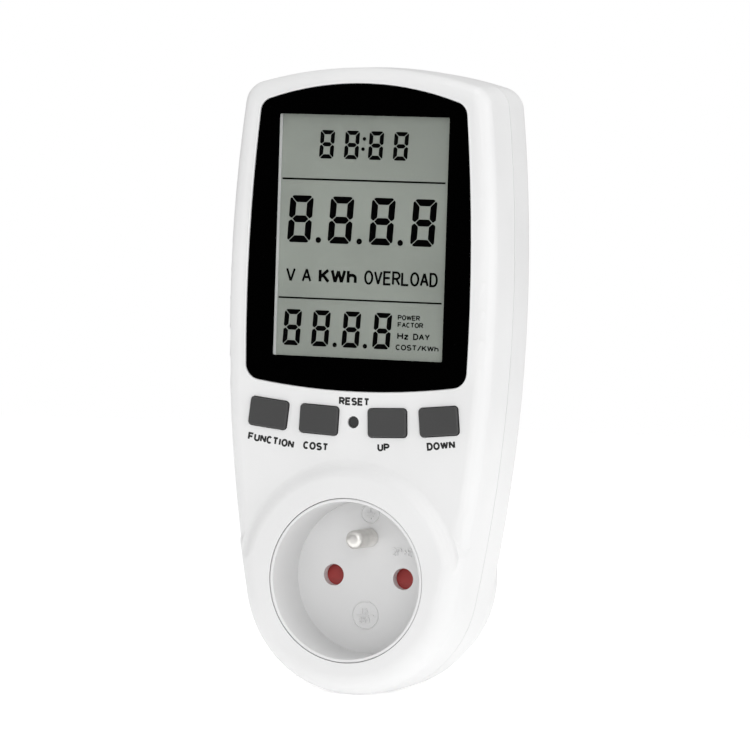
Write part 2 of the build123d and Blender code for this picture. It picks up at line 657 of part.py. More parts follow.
def display_chip():
    """The domed resin over the display's controller."""
    ball = (BLOB_RADIUS**2 + BLOB_HEIGHT**2) / (2 * BLOB_HEIGHT)
    dome = Pos(0, Y_DISPLAY_BOARD_BACK + BLOB_HEIGHT - ball, BLOB_Z) * Sphere(ball)
    return dome & disc(BLOB_RADIUS + 1, Y_DISPLAY_BOARD_BACK, Y_MAIN_BOARD, 0, BLOB_Z)


# ---------------------------------------------------------------- keys and their switches
def key_cap(x):
    """A hard key cap with the flange that keeps it behind the face and a stem for its switch."""
    place = key_place(x)
    cap = slab(place * key_shape(), Y_FACE - KEY_PROUD, Y_FACE + WALL + KEY_GAP)
    cap = fillet(cap.faces().sort_by(Axis.Y)[0].edges(), KEY_EDGE_RADIUS)
    flange_y = Y_FACE + WALL + KEY_GAP / 2
    cap += slab(place * key_shape(KEY_FLANGE), flange_y, flange_y + KEY_FLANGE_THICKNESS)
    return cap + slab(place * Circle(PLUNGER_RADIUS), flange_y, Y_PLUNGER)


def reset_cap():
    """The small sunk reset button with its flange."""
    flange_y = Y_FACE + WALL + KEY_GAP / 2
    cap = disc(RESET_RADIUS, Y_FACE + RESET_SUNK, flange_y, 0, RESET_Z)
    cap += disc(RESET_FLANGE_RADIUS, flange_y, flange_y + KEY_FLANGE_THICKNESS, 0, RESET_Z)
    return cap + disc(RESET_RADIUS, flange_y, Y_PLUNGER, 0, RESET_Z)


def plunger_at(place):
    """The plunger of a switch, which moves with the button in front of it."""
    return slab(place * Circle(PLUNGER_RADIUS), Y_PLUNGER, Y_SWITCH + SWITCH_HEIGHT / 3)


def switch_at(place):
    """The square body of a switch, with the well its plunger moves in."""
    body = slab(place * RectangleRounded(SWITCH_SIZE, SWITCH_SIZE, 0.4), Y_SWITCH, Y_DISPLAY_BOARD)
    well_end = Y_SWITCH + 2 * SWITCH_HEIGHT / 3
    return body - slab(place * Circle(PLUNGER_RADIUS + PLUNGER_GAP), Y_SWITCH - 1, well_end)


# ---------------------------------------------------------------- outlet
def outlet_insert():
    """The cup of the outlet: recess, floor with pin entries, and the shutter's guide behind it."""
    cup = disc(CUP_LIP_RADIUS, Y_RING, Y_CARRIER)
    cup += disc(CUP_RADIUS, Y_RING + CUP_SEAT_DEPTH, Y_CARRIER)
    flange_y = Y_RING + CUP_SEAT_DEPTH
    cup += disc(CUP_FLANGE_RADIUS, flange_y, flange_y + CUP_FLANGE_THICKNESS)
    recess = Solid.make_cone(
        RECESS_RADIUS, RECESS_RADIUS - RECESS_DRAFT, RECESS_DEPTH, Plane((0, Y_RING, 0), z_dir=(0, 1, 0))
    )
    cup -= recess
    cup = fillet(cup.faces().sort_by(Axis.Y)[0].edges(), LIP_ROUND)
    for side in (-1, 1):
        cup -= disc(ENTRY_RADIUS, Y_FLOOR - 1, Y_CARRIER, side * PIN_X, 0)
    cup -= disc(PIN_NECK_RADIUS, Y_FLOOR - 1, Y_CARRIER + 1, 0, EARTH_PIN_OFFSET)
    low = -SHUTTER_HALF_HEIGHT - SHUTTER_TRAVEL - SHUTTER_CLEARANCE
    wide = SHUTTER_HALF_WIDTH + SHUTTER_CLEARANCE
    high = SHUTTER_HALF_HEIGHT + SHUTTER_CLEARANCE
    cup -= block(-wide, wide, Y_FLOOR_BACK, Y_CARRIER + 1, low, high)
    spring_half = SPRING_RADIUS + SPRING_WIRE_RADIUS + SHUTTER_CLEARANCE
    cup -= block(-spring_half, spring_half, Y_FLOOR_BACK, Y_CARRIER + 1, SPRING_SEAT_Z, low)
    for x, z in CARRIER_SCREWS:
        end = Y_CARRIER_BACK - CARRIER_SCREW_LENGTH
        cup -= disc(BOARD_SCREW_RADIUS + SCREW_GAP, end, Y_CARRIER + 1, x, z)
    return cup


def shutter():
    """The red shutter: a bar that closes both pin entries, with a ramp in front of each."""
    y0 = Y_FLOOR_BACK + SHUTTER_CLEARANCE
    y1 = y0 + SHUTTER_THICKNESS
    low, high = -SHUTTER_HALF_HEIGHT, SHUTTER_HALF_HEIGHT
    bar = block(-SHUTTER_HALF_WIDTH, SHUTTER_HALF_WIDTH, y0, y1, low, high)
    ramp = make_face(Polyline((0, y0, low / 3), (0, y0, high), (0, y0 + SHUTTER_RAMP, high), close=True))
    for side in (-1, 1):
        wedge = extrude(Pos(side * PIN_X, 0, 0) * ramp, amount=ENTRY_RADIUS, dir=(1, 0, 0), both=True)
        bar -= wedge
    return bar


def shutter_spring():
    """The coil spring that lifts the shutter."""
    height = -SHUTTER_HALF_HEIGHT - SPRING_SEAT_Z - 2 * SPRING_WIRE_RADIUS
    y = Y_FLOOR_BACK + SHUTTER_CAVITY / 2
    start = (0, y, SPRING_SEAT_Z + SPRING_WIRE_RADIUS)
    path = Helix(height / SPRING_TURNS, height, SPRING_RADIUS, center=start)
    section = Plane(origin=path @ 0, z_dir=path % 0) * Circle(SPRING_WIRE_RADIUS)
    return sweep(section, path=path, is_frenet=True)


def contact_carrier():
    """The plate that closes the shutter's guide, with the block that holds the two contacts."""
    carrier = disc(CARRIER_RADIUS, Y_CARRIER, Y_CARRIER_BACK)
    wide, high = BLOCK_HALF_WIDTH, BLOCK_HALF_HEIGHT
    carrier += block(-wide, wide, Y_CARRIER, Y_BLOCK_BACK, -high, high)
    for side in (-1, 1):
        x = side * PIN_X
        carrier -= disc(ENTRY_RADIUS, Y_CARRIER - 1, Y_CONTACT, x, 0)
        carrier -= disc(CONTACT_RADIUS + CONTACT_WALL, Y_CONTACT, Y_BLOCK_BACK + 1, x, 0)
        half = TAB_WIDTH / 2
        y = Y_CONTACT_BACK - TAB_INSET - TAB_THICKNESS
        carrier -= block(x - half, x + half, y, Y_BLOCK_BACK + 1, 0, high + 1)
    carrier -= disc(EARTH_PIN_SHANK_RADIUS, Y_CARRIER - 1, Y_CARRIER_BACK + 1, 0, EARTH_PIN_OFFSET)
    for x, z in CARRIER_SCREWS:
        carrier -= disc(BOARD_SCREW_RADIUS + SCREW_GAP, Y_CARRIER - 1, Y_CARRIER_BACK + 1, x, z)
    return carrier


def socket_contact(x):
    """A slit spring sleeve that grips one pin, with the tab its wire is welded to."""
    outer = CONTACT_RADIUS + CONTACT_WALL
    sleeve = disc(outer, Y_CONTACT, Y_CONTACT_BACK, x, 0)
    sleeve -= disc(CONTACT_RADIUS, Y_CONTACT - 1, Y_CONTACT_BACK - CONTACT_BACK, x, 0)
    half = CONTACT_SLOT / 2
    slit_end = Y_CONTACT_BACK - TAB_INSET - 2 * TAB_THICKNESS
    sleeve -= block(x - half, x + half, Y_CONTACT - 1, slit_end, -outer - 1, outer + 1)
    y = Y_CONTACT_BACK - TAB_INSET - TAB_THICKNESS
    half = TAB_WIDTH / 2
    tab = block(x - half, x + half, y, y + TAB_THICKNESS, CONTACT_RADIUS, TAB_TOP_Z)
    return sleeve + tab


def earth_pin():
    """The outlet's earth pin, standing in the recess and riveted behind the contact carrier."""
    tip_y = Y_FLOOR - EARTH_PIN_LENGTH
    pin = disc(EARTH_PIN_RADIUS, tip_y, Y_FLOOR - PIN_NECK_PROUD, 0, EARTH_PIN_OFFSET)
    pin = fillet(pin.faces().sort_by(Axis.Y)[0].edges(), EARTH_PIN_TIP_RADIUS)
    pin += disc(PIN_NECK_RADIUS, Y_FLOOR - PIN_NECK_PROUD - 1, Y_CARRIER, 0, EARTH_PIN_OFFSET)
    pin += disc(EARTH_PIN_SHANK_RADIUS, Y_CARRIER - 1, Y_CARRIER_BACK, 0, EARTH_PIN_OFFSET)
    head_end = Y_CARRIER_BACK + EARTH_PIN_HEAD
    return pin + disc(EARTH_PIN_HEAD_RADIUS, Y_CARRIER_BACK, head_end, 0, EARTH_PIN_OFFSET)


# ---------------------------------------------------------------- plug
def plug_pin(x):
    """A round plug pin with its flange behind the plug's face and a tail for its wire."""
    pin = rounded_rod(PIN_RADIUS, PIN_NECK_PROUD, PIN_LENGTH, PIN_TIP_RADIUS, x, 0)
    pin += disc(PIN_NECK_RADIUS, Y_PIN_ROOT - 1, PIN_NECK_PROUD + 1, x, 0)
    pin += disc(PIN_FLANGE_RADIUS, Y_HOLDER, Y_PIN_ROOT, x, 0)
    return pin + disc(PIN_SHANK_RADIUS, Y_HOLDER_FRONT - PIN_TAIL, Y_HOLDER, x, 0)


def pin_holder():
    """The plate pressed into the plug that keeps both pins against its face."""
    shape = stub_cavity()
    for side in (-1, 1):
        shape -= Pos(side * PIN_X, 0) * Circle(PIN_SHANK_RADIUS)
    shape -= Pos(0, EARTH_PIN_OFFSET) * Circle(EARTH_ENTRY_RADIUS + EARTH_SLEEVE_WALL)
    return slab(shape, Y_HOLDER_FRONT, Y_HOLDER)


def earth_sleeve():
    """The sleeve behind the plug's earth hole."""
    outer = EARTH_ENTRY_RADIUS + EARTH_SLEEVE_WALL
    y_front = Y_PIN_ROOT - EARTH_SLEEVE_LENGTH
    return tube(outer, EARTH_ENTRY_RADIUS, y_front, Y_PIN_ROOT, 0, EARTH_PIN_OFFSET)


def earth_clip(side):
    """A bowed spring clip in the plug's edge, with a tail through the plug's wall."""
    seat = STUB_RADIUS - GUIDE_DEPTH
    top = seat + CLIP_THICKNESS
    y0, y1 = Y_BOSS, -STUB_EDGE_RADIUS
    middle = (y0 + y1) / 2
    outside = ThreePointArc((y0, top), (middle, top + CLIP_BOW), (y1, top))
    inside = ThreePointArc((y0, seat), (middle, seat + CLIP_BOW), (y1, seat))
    ends = [Line((y0, seat), (y0, top)), Line((y1, seat), (y1, top))]
    half = CLIP_WIDTH / 2 - SLIP
    strip = extrude(Plane.YZ * make_face([outside, inside, *ends]), amount=half, both=True)
    tail_half = CLIP_TAIL / 2
    strip += block(-tail_half, tail_half, y0, y0 + CLIP_THICKNESS, CLIP_INNER_Z, top - CLIP_THICKNESS / 3)
    return strip if side > 0 else mirror(strip, about=Plane.XY)


def earth_strap():
    """The strap from the outlet's earth pin to the plug's earth sleeve and both earth clips."""
    half, thick = EARTH_STRAP_HALF_WIDTH, EARTH_STRAP_THICKNESS
    y0 = Y_CARRIER_BACK + EARTH_PIN_HEAD
    y1 = Y_PIN_ROOT - EARTH_SLEEVE_LENGTH
    strap = block(-half, half, y0, y0 + thick, EARTH_PIN_OFFSET - half, CLIP_INNER_Z)
    strap += block(-half, half, y0, y1, CLIP_INNER_Z - thick, CLIP_INNER_Z)
    strap += block(-half, half, y1 - thick, y1, EARTH_PIN_OFFSET - EARTH_ENTRY_RADIUS, CLIP_INNER_Z)
    return strap


# ---------------------------------------------------------------- wires
def tab_to_board(tab_x, board_x):
    """The route of a wire from a contact's tab up to the rear of the main board."""
    start_y = Y_CONTACT_BACK - TAB_INSET - TAB_THICKNESS / 2
    y = Y_MAIN_BOARD_BACK + WIRE_STAND_OFF
    return (
        (tab_x, start_y, TAB_TOP_Z),
        (tab_x, start_y, WIRE_KNEE_Z),
        (board_x, y, WIRE_CROSS_Z),
        (board_x, y, WIRE_END_Z),
        (board_x, Y_MAIN_BOARD_BACK, WIRE_END_Z),
    )


def live_in_wire():
    """The wire from the live plug pin to the meter's shunt."""
    tail = Y_HOLDER_FRONT - PIN_TAIL
    x = SHUNT_X[0]
    y = Y_MAIN_BOARD_BACK + WIRE_STAND_OFF
    points = (
        (PIN_X, tail, 0),
        (PIN_X, tail - PIN_WIRE_STEP, 0),
        (x, tail - PIN_WIRE_KNEE[0], PIN_WIRE_KNEE[1]),
        (x, Y_PIN_ROOT - PIN_WIRE_RISE[0], PIN_WIRE_RISE[1]),
        (x, y, WIRE_CROSS_Z),
        (x, y, WIRE_END_Z),
        (x, Y_MAIN_BOARD_BACK, WIRE_END_Z),
    )
    return wire_through(points, POWER_WIRE_RADIUS, WIRE_BEND_RADIUS)


def live_out_wire():
    """The wire from the meter's shunt to the outlet's live contact."""
    return wire_through(tab_to_board(PIN_X, SHUNT_X[1]), POWER_WIRE_RADIUS, WIRE_BEND_RADIUS)


def neutral_wire():
    """The thin wire that takes the neutral's voltage to the main board."""
    return wire_through(tab_to_board(-PIN_X, -SHUNT_X[1]), SENSE_WIRE_RADIUS, WIRE_BEND_RADIUS)


def neutral_link():
    """The bar that joins the neutral plug pin to the outlet's neutral contact."""
    return disc(PIN_SHANK_RADIUS, Y_CONTACT_BACK, Y_HOLDER_FRONT - PIN_TAIL, -PIN_X, 0)


# ---------------------------------------------------------------- main board
def main_board():
    """The metering circuit board, screwed to posts in the rear shell."""
    height = MAIN_BOARD_TOP_Z - MAIN_BOARD_BOTTOM_Z
    shape = Rectangle(2 * MAIN_BOARD_HALF_WIDTH, height, align=(Align.CENTER, Align.MIN))
    shape = Pos(0, MAIN_BOARD_BOTTOM_Z) * shape
    for x, z in MAIN_BOARD_POSTS:
        shape -= Pos(x, z) * Circle(BOARD_SCREW_RADIUS + SCREW_GAP)
    return slab(shape, Y_MAIN_BOARD, Y_MAIN_BOARD_BACK)


def shunt():
    """The bent strip whose voltage gives the current."""
    x0, x1 = SHUNT_X
    z0, z1 = WIRE_END_Z - SHUNT_WIDTH / 2, WIRE_END_Z + SHUNT_WIDTH / 2
    half = SHUNT_THICKNESS / 2
    outer = block(x0 - half, x1 + half, Y_MAIN_BOARD - SHUNT_HEIGHT, Y_MAIN_BOARD, z0, z1)
    top = Y_MAIN_BOARD - SHUNT_HEIGHT + SHUNT_THICKNESS
    return outer - block(x0 + half, x1 - half, top, Y_MAIN_BOARD + 1, z0 - 1, z1 + 1)


def mains_capacitor():
    """The boxed film capacitor of the meter's power supply."""
    width, depth, height = CAPACITOR_SIZE
    body = Pos(CAPACITOR_X, Y_MAIN_BOARD - depth / 2, CAPACITOR_Z) * Box(width, depth, height)
    return fillet(body.edges().filter_by(Axis.Y), CAPACITOR_LEG_RADIUS)


def smoothing_capacitor():
    """The can of the smoothing capacitor."""
    y = Y_MAIN_BOARD - ELECTROLYTIC_HEIGHT
    can = disc(ELECTROLYTIC_RADIUS, y, Y_MAIN_BOARD, ELECTROLYTIC_X, ELECTROLYTIC_Z)
    return fillet(can.faces().sort_by(Axis.Y)[0].edges(), CAPACITOR_LEG_RADIUS)


def varistor():
    """The disc that takes up mains surges, lying flat on the board."""
    y = Y_MAIN_BOARD - VARISTOR_THICKNESS
    body = disc(VARISTOR_RADIUS, y, Y_MAIN_BOARD, VARISTOR_X, VARISTOR_Z)
    return fillet(body.faces().sort_by(Axis.Y)[0].edges(), VARISTOR_THICKNESS / 3)


def metering_chip():
    """The metering chip with its two rows of legs."""
    length, thickness, width = CHIP_SIZE
    lift = CHIP_LEG_THICKNESS
    y1 = Y_MAIN_BOARD - lift
    x0 = CHIP_X - length / 2
    z0, z1 = CHIP_Z - width / 2, CHIP_Z + width / 2
    chip = block(x0, x0 + length, y1 - thickness, y1, z0, z1)
    pitch = length / CHIP_LEGS
    for n in range(CHIP_LEGS):
        x = x0 + (n + 0.5) * pitch
        half = CHIP_LEG_WIDTH / 2
        low, high = z0 - CHIP_LEG_REACH, z1 + CHIP_LEG_REACH
        chip += block(x - half, x + half, y1, Y_MAIN_BOARD, low, high)
    return chip


def board_link():
    """The row of pins in a plastic strip that joins the two boards."""
    half = LINK_HALF_HEIGHT
    low, high = LINK_Z - half, LINK_Z + half
    return block(-LINK_HALF_WIDTH, LINK_HALF_WIDTH, Y_DISPLAY_BOARD_BACK, Y_MAIN_BOARD, low, high)


def battery():
    """The stack of three button cells in shrink sleeve that keeps the readings."""
    y = Y_BACK_INSIDE - BATTERY_REAR_GAP - BATTERY_RADIUS
    body = Pos(0, y, BATTERY_Z) * Rot(0, 90, 0) * Cylinder(BATTERY_RADIUS, BATTERY_LENGTH)
    return fillet(body.edges().filter_by(GeomType.CIRCLE), BATTERY_RADIUS / 8)


def battery_leads():
    """The two leads from the battery's ends to the main board."""
    y = Y_BACK_INSIDE - BATTERY_REAR_GAP - BATTERY_RADIUS
    end_z = MAIN_BOARD_TOP_Z - 3
    leads = []
    for side in (-1, 1):
        x0 = side * BATTERY_LENGTH / 2
        x1 = side * (BATTERY_LENGTH / 2 + 4)
        points = (
            (x0, y, BATTERY_Z),
            (x1, y, BATTERY_Z),
            (x1, Y_MAIN_BOARD - 3, MAIN_BOARD_TOP_Z + 3),
            (x1, Y_MAIN_BOARD - 3, end_z),
            (x1, Y_MAIN_BOARD, end_z),
        )
        leads.append(wire_through(points, LEAD_RADIUS, LEAD_BEND_RADIUS))
    return joined(leads)


# ---------------------------------------------------------------- screws
def case_screws():
    """The four screws that hold the two shells together, driven from the rear."""
    sizes = (SCREW_LENGTH, -1, SCREW_RADIUS, SCREW_HEAD_RADIUS, SCREW_HEAD_HEIGHT)
    return joined([screw(x, z, Y_PART + PILLAR_FLOOR, *sizes) for x, z in CASE_POSTS])


def display_board_screws():
    """The screws that hold the display board to the front shell."""
    sizes = (BOARD_SCREW_LENGTH, -1, BOARD_SCREW_RADIUS, BOARD_SCREW_HEAD_RADIUS, BOARD_SCREW_HEAD_HEIGHT)
    return joined([screw(x, z, Y_DISPLAY_BOARD_BACK, *sizes) for x, z in DISPLAY_BOARD_POSTS])


def main_board_screws():
    """The screws that hold the main board to the rear shell."""
    sizes = (BOARD_SCREW_LENGTH, 1, BOARD_SCREW_RADIUS, BOARD_SCREW_HEAD_RADIUS, BOARD_SCREW_HEAD_HEIGHT)
    return joined([screw(x, z, Y_MAIN_BOARD, *sizes) for x, z in MAIN_BOARD_POSTS])


def carrier_screws():
    """The screws that hold the contact carrier to the outlet's cup."""
    sizes = (CARRIER_SCREW_LENGTH, -1, BOARD_SCREW_RADIUS, BOARD_SCREW_HEAD_RADIUS, BOARD_SCREW_HEAD_HEIGHT)
    return joined([screw(x, z, Y_CARRIER_BACK, *sizes) for x, z in CARRIER_SCREWS])


# ---------------------------------------------------------------- the whole meter
def all_nodes():
    """Every node by name."""
    nodes = {
        "front_housing": front_housing(),
        "rear_housing": rear_housing(),
        "panel_lens": panel_lens(),
        "panel_mask": panel_mask(),
        "lcd_polariser": lcd_polariser(),
        "lcd_front_glass": lcd_front_glass(),
        "lcd_rear_glass": lcd_rear_glass(),
        "lcd_reflector": lcd_reflector(),
        "zebra_strips": zebra_strips(),
        "lcd_frame": lcd_frame(),
        "display_board": display_board(),
        "display_chip": display_chip(),
        "outlet_insert": outlet_insert(),
        "shutter": shutter(),
        "shutter_spring": shutter_spring(),
        "contact_carrier": contact_carrier(),
        "socket_contact_live": socket_contact(PIN_X),
        "socket_contact_neutral": socket_contact(-PIN_X),
        "earth_pin": earth_pin(),
        "plug_pin_live": plug_pin(PIN_X),
        "plug_pin_neutral": plug_pin(-PIN_X),
        "pin_holder": pin_holder(),
        "earth_sleeve": earth_sleeve(),
        "earth_clip_upper": earth_clip(1),
        "earth_clip_lower": earth_clip(-1),
        "earth_strap": earth_strap(),
        "live_in_wire": live_in_wire(),
        "live_out_wire": live_out_wire(),
        "neutral_wire": neutral_wire(),
        "neutral_link": neutral_link(),
        "main_board": main_board(),
        "shunt": shunt(),
        "mains_capacitor": mains_capacitor(),
        "smoothing_capacitor": smoothing_capacitor(),
        "varistor": varistor(),
        "metering_chip": metering_chip(),
        "board_link": board_link(),
        "battery": battery(),
        "battery_leads": battery_leads(),
        "case_screws": case_screws(),
        "display_board_screws": display_board_screws(),
        "main_board_screws": main_board_screws(),
        "carrier_screws": carrier_screws(),
        "key_reset": reset_cap(),
        "plunger_reset": plunger_at(Pos(0, RESET_Z)),
        "switch_reset": switch_at(Pos(0, RESET_Z)),
    }
    for name, x in KEY_NAMES_AND_X:
        nodes["key_" + name] = key_cap(x)
        nodes["plunger_" + name] = plunger_at(key_place(x))
        nodes["switch_" + name] = switch_at(key_place(x))
    return nodes


def main():
    """Write every node to its own file."""
    os.makedirs("parts", exist_ok=True)
    for name, solid in all_nodes().items():
        export_step(solid, f"parts/{name}.step")


main()
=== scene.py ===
"""Plug-in power meter: the looks of its case, display, keys, outlet and plug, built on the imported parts.

The frame is the parts' own: metres, +Y into the wall socket along the plug pins, +Z up, and the origin at
the centre of the plug's face. MM turns millimetres into metres.
"""

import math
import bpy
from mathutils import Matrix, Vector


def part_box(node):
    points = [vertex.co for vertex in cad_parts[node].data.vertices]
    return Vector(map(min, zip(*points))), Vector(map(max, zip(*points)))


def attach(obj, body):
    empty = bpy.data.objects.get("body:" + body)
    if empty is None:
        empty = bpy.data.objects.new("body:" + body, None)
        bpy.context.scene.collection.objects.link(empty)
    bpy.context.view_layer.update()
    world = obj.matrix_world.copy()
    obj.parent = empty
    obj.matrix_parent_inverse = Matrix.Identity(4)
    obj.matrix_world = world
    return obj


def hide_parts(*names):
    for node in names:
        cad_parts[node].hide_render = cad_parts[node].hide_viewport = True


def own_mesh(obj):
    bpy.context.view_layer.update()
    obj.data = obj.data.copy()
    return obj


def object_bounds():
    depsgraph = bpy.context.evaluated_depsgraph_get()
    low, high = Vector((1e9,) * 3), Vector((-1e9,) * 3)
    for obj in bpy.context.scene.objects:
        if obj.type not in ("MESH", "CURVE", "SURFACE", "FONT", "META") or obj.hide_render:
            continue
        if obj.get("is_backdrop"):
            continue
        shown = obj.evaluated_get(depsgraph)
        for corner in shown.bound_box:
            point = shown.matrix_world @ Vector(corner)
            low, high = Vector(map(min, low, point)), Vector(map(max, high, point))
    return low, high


bl_info = {
    "name": "Plug-in power meter",
    "version": (1, 0, 0),
    "blender": (4, 5, 0),
    "location": "View3D > Sidebar > Power meter",
    "description": "Builds the finish, display, lettering and stage of a plug-in power meter",
    "category": "Add Mesh",
}

import bmesh
import bpy
import numpy as np
from bpy.props import FloatProperty, FloatVectorProperty, IntProperty, PointerProperty
from mathutils import Matrix

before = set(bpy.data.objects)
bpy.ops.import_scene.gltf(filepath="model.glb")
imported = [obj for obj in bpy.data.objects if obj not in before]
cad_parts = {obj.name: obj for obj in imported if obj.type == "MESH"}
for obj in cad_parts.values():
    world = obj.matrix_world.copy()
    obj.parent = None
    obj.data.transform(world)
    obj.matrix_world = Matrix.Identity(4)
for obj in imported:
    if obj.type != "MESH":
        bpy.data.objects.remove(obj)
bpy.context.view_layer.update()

MM = 0.001
LENS_SINK = 0.1  # the clear panel lies this far behind the face round it
RECESS_DEPTH = 15.2  # from the outlet's ring to its floor
ROOT = 0.05  # how far a raised mark reaches into the surface under it
MERGE_DISTANCE = 2e-6
SLIVER = 1e-7


# ------------------------------------------------------------------------------------------- colour and boxes
def linear(code):
    """The linear red, green and blue of an sRGB hex colour such as "E6E6E4"."""
    value = np.array([int(code[i : i + 2], 16) for i in (0, 2, 4)]) / 255
    return tuple(np.where(value <= 0.04045, value / 12.92, ((value + 0.055) / 1.055) ** 2.4).tolist())


def corners(node):
    """A part's lowest and highest corner in millimetres."""
    low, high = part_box(node)
    return np.array(low) / MM, np.array(high) / MM


FACE_Y = float(corners("panel_lens")[0][1]) - LENS_SINK
FLOOR_Y = float(corners("outlet_insert")[0][1]) + RECESS_DEPTH
DISPLAY_Y = float(corners("lcd_polariser")[0][1])


# ------------------------------------------------------------------------------------------- meshes
def make_mesh(name, points, faces, smooth=True):
    """A mesh from points in millimetres and faces."""
    mesh = bpy.data.meshes.new(name)
    mesh.from_pydata((np.asarray(points, float) * MM).tolist(), [], [list(map(int, f)) for f in faces])
    if smooth:
        mesh.shade_smooth()
    else:
        mesh.shade_flat()
    mesh.validate()
    return mesh


def place(mesh, material, body, replaces=()):
    """Puts a finished mesh in the scene, on its body, with its material."""
    piece = bpy.data.objects.new(mesh.name, mesh)
    bpy.context.scene.collection.objects.link(piece)
    piece.data.materials.clear()
    piece.data.materials.append(material)
    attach(piece, body)
    if replaces:
        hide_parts(*replaces)
    return piece


def grid_faces(rows, columns, wrap_rows=False):
    """Quads of a grid of points numbered row by row. Its columns close on themselves, and its rows if asked."""
    r = np.arange(rows if wrap_rows else rows - 1)
    i, j = np.meshgrid(r, np.arange(columns), indexing="ij")
    i2, j2 = (i + 1) % rows, (j + 1) % columns
    quads = np.stack([i * columns + j, i * columns + j2, i2 * columns + j2, i2 * columns + j], -1)
    return quads.reshape(-1, 4)


def face_outwards(mesh):
    """Turns every face of a closed mesh outwards."""
    work = bmesh.new()
    work.from_mesh(mesh)
    bmesh.ops.remove_doubles(work, verts=work.verts, dist=SLIVER)
    bmesh.ops.recalc_face_normals(work, faces=work.faces)
    work.to_mesh(mesh)
    work.free()
    return mesh


def plate(name, outlines, y_front, y_back):
    """Flat shapes given thickness: each outline in (x, z) is drawn at y_front and y_back and its edge closed."""
    points, faces, start = [], [], 0
    for outline in outlines:
        flat = np.asarray(outline, float)
        n = len(flat)
        near = np.column_stack([flat[:, 0], np.full(n, y_front), flat[:, 1]])
        far = np.column_stack([flat[:, 0], np.full(n, y_back), flat[:, 1]])
        points.append(np.vstack([near, far]))
        faces.append(np.arange(start, start + n))
        faces.append(np.arange(start + n, start + 2 * n)[::-1])
        faces.extend(grid_faces(2, n) + start)
        start += 2 * n
    return face_outwards(make_mesh(name, np.vstack(points), faces, smooth=False))


def smooth_copy(node, name, sharp=32.0):
    """A merged copy of a part's mesh, shaded smooth except over edges that turn by more than sharp degrees."""
    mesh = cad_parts[node].data.copy()
    mesh.name = name
    work = bmesh.new()
    work.from_mesh(mesh)
    bmesh.ops.remove_doubles(work, verts=work.verts, dist=MERGE_DISTANCE)
    bmesh.ops.dissolve_degenerate(work, edges=work.edges, dist=SLIVER)
    limit = math.radians(sharp)
    for edge in work.edges:
        edge.smooth = edge.is_manifold and edge.calc_face_angle(0.0) < limit
    for face in work.faces:
        face.smooth = True
    work.to_mesh(mesh)
    work.free()
    mesh.materials.clear()
    return mesh


def weigh_normals(piece):
    """Lets large faces lead the shading, so that flats stay flat up to their rounded edges."""
    weighted = piece.modifiers.new("Weighted", "WEIGHTED_NORMAL")
    weighted.keep_sharp = True
    weighted.weight = 80


def arc(x, z, radius_x, radius_z, start, end, samples=14):
    """Points of an ellipse's arc between two angles in degrees."""
    turn = np.radians(np.linspace(start, end, samples))
    return np.column_stack([x + radius_x * np.cos(turn), z + radius_z * np.sin(turn)]).tolist()


BOWL = [(0, 1), (0.5, 1), *arc(0.5, 0.74, 0.5, 0.26, 90, -90), (0, 0.48)]
LETTERS = {
    "A": [[(0, 0), (0.5, 1), (1, 0)], [(0.19, 0.34), (0.81, 0.34)]],
    "C": [arc(0.5, 0.5, 0.5, 0.5, 45, 315, 28)],
    "D": [[(0, 0), (0, 1), (0.45, 1), *arc(0.45, 0.5, 0.55, 0.5, 80, -80), (0.45, 0), (0, 0)]],
    "E": [[(1, 1), (0, 1), (0, 0), (1, 0)], [(0, 0.52), (0.88, 0.52)]],
    "F": [[(1, 1), (0, 1), (0, 0)], [(0, 0.5), (0.85, 0.5)]],
    "H": [[(0, 0), (0, 1)], [(1, 0), (1, 1)], [(0, 0.52), (1, 0.52)]],
    "I": [[(0.5, 0), (0.5, 1)]],
    "K": [[(0, 0), (0, 1)], [(0.95, 1), (0, 0.36)], [(0.32, 0.58), (1, 0)]],
    "L": [[(0, 1), (0, 0), (1, 0)]],
    "N": [[(0, 0), (0, 1), (1, 0), (1, 1)]],
    "O": [arc(0.5, 0.5, 0.5, 0.5, 0, 360, 36)],
    "P": [[(0, 0), *BOWL]],
    "R": [[(0, 0), *BOWL], [(0.5, 0.48), (1, 0)]],
    "S": [[*arc(0.5, 0.75, 0.47, 0.25, 30, 250, 16), *arc(0.5, 0.26, 0.5, 0.26, 78, -150, 16)]],
    "T": [[(0, 1), (1, 1)], [(0.5, 1), (0.5, 0)]],
    "U": [[(0, 1), *arc(0.5, 0.33, 0.5, 0.33, 180, 360, 18), (1, 1)]],
    "V": [[(0, 1), (0.5, 0), (1, 1)]],
    "W": [[(0, 1), (0.25, 0), (0.5, 0.95), (0.75, 0), (1, 1)]],
    "Y": [[(0, 1), (0.5, 0.45), (1, 1)], [(0.5, 0.45), (0.5, 0)]],
    "h": [[(0, 0), (0, 1)], [(0, 0.42), *arc(0.5, 0.4, 0.5, 0.24, 150, 0, 12), (1, 0)]],
    "z": [[(0, 0.66), (1, 0.66), (0, 0), (1, 0)]],
    "/": [[(0, -0.05), (1, 1.05)]],
    "~": [arc(0.25, 0.5, 0.25, 0.14, 180, 0, 8) + arc(0.75, 0.5, 0.25, 0.14, 180, 360, 8)],
    "+": [[(0, 0.5), (1, 0.5)], [(0.5, 0.2), (0.5, 0.8)]],
    "0": [arc(0.5, 0.5, 0.5, 0.5, 0, 360, 30)],
    "1": [[(0.2, 0.75), (0.6, 1), (0.6, 0)]],
    "2": [[*arc(0.5, 0.72, 0.47, 0.28, 170, -40, 14), (0, 0), (1, 0)]],
    "5": [[(0.95, 1), (0.12, 1), (0.05, 0.52), *arc(0.48, 0.33, 0.5, 0.33, 125, -150, 16)]],
    "6": [[*arc(0.55, 0.5, 0.55, 0.5, 60, 180, 12), *arc(0.5, 0.32, 0.5, 0.32, 180, -180, 24)]],
}
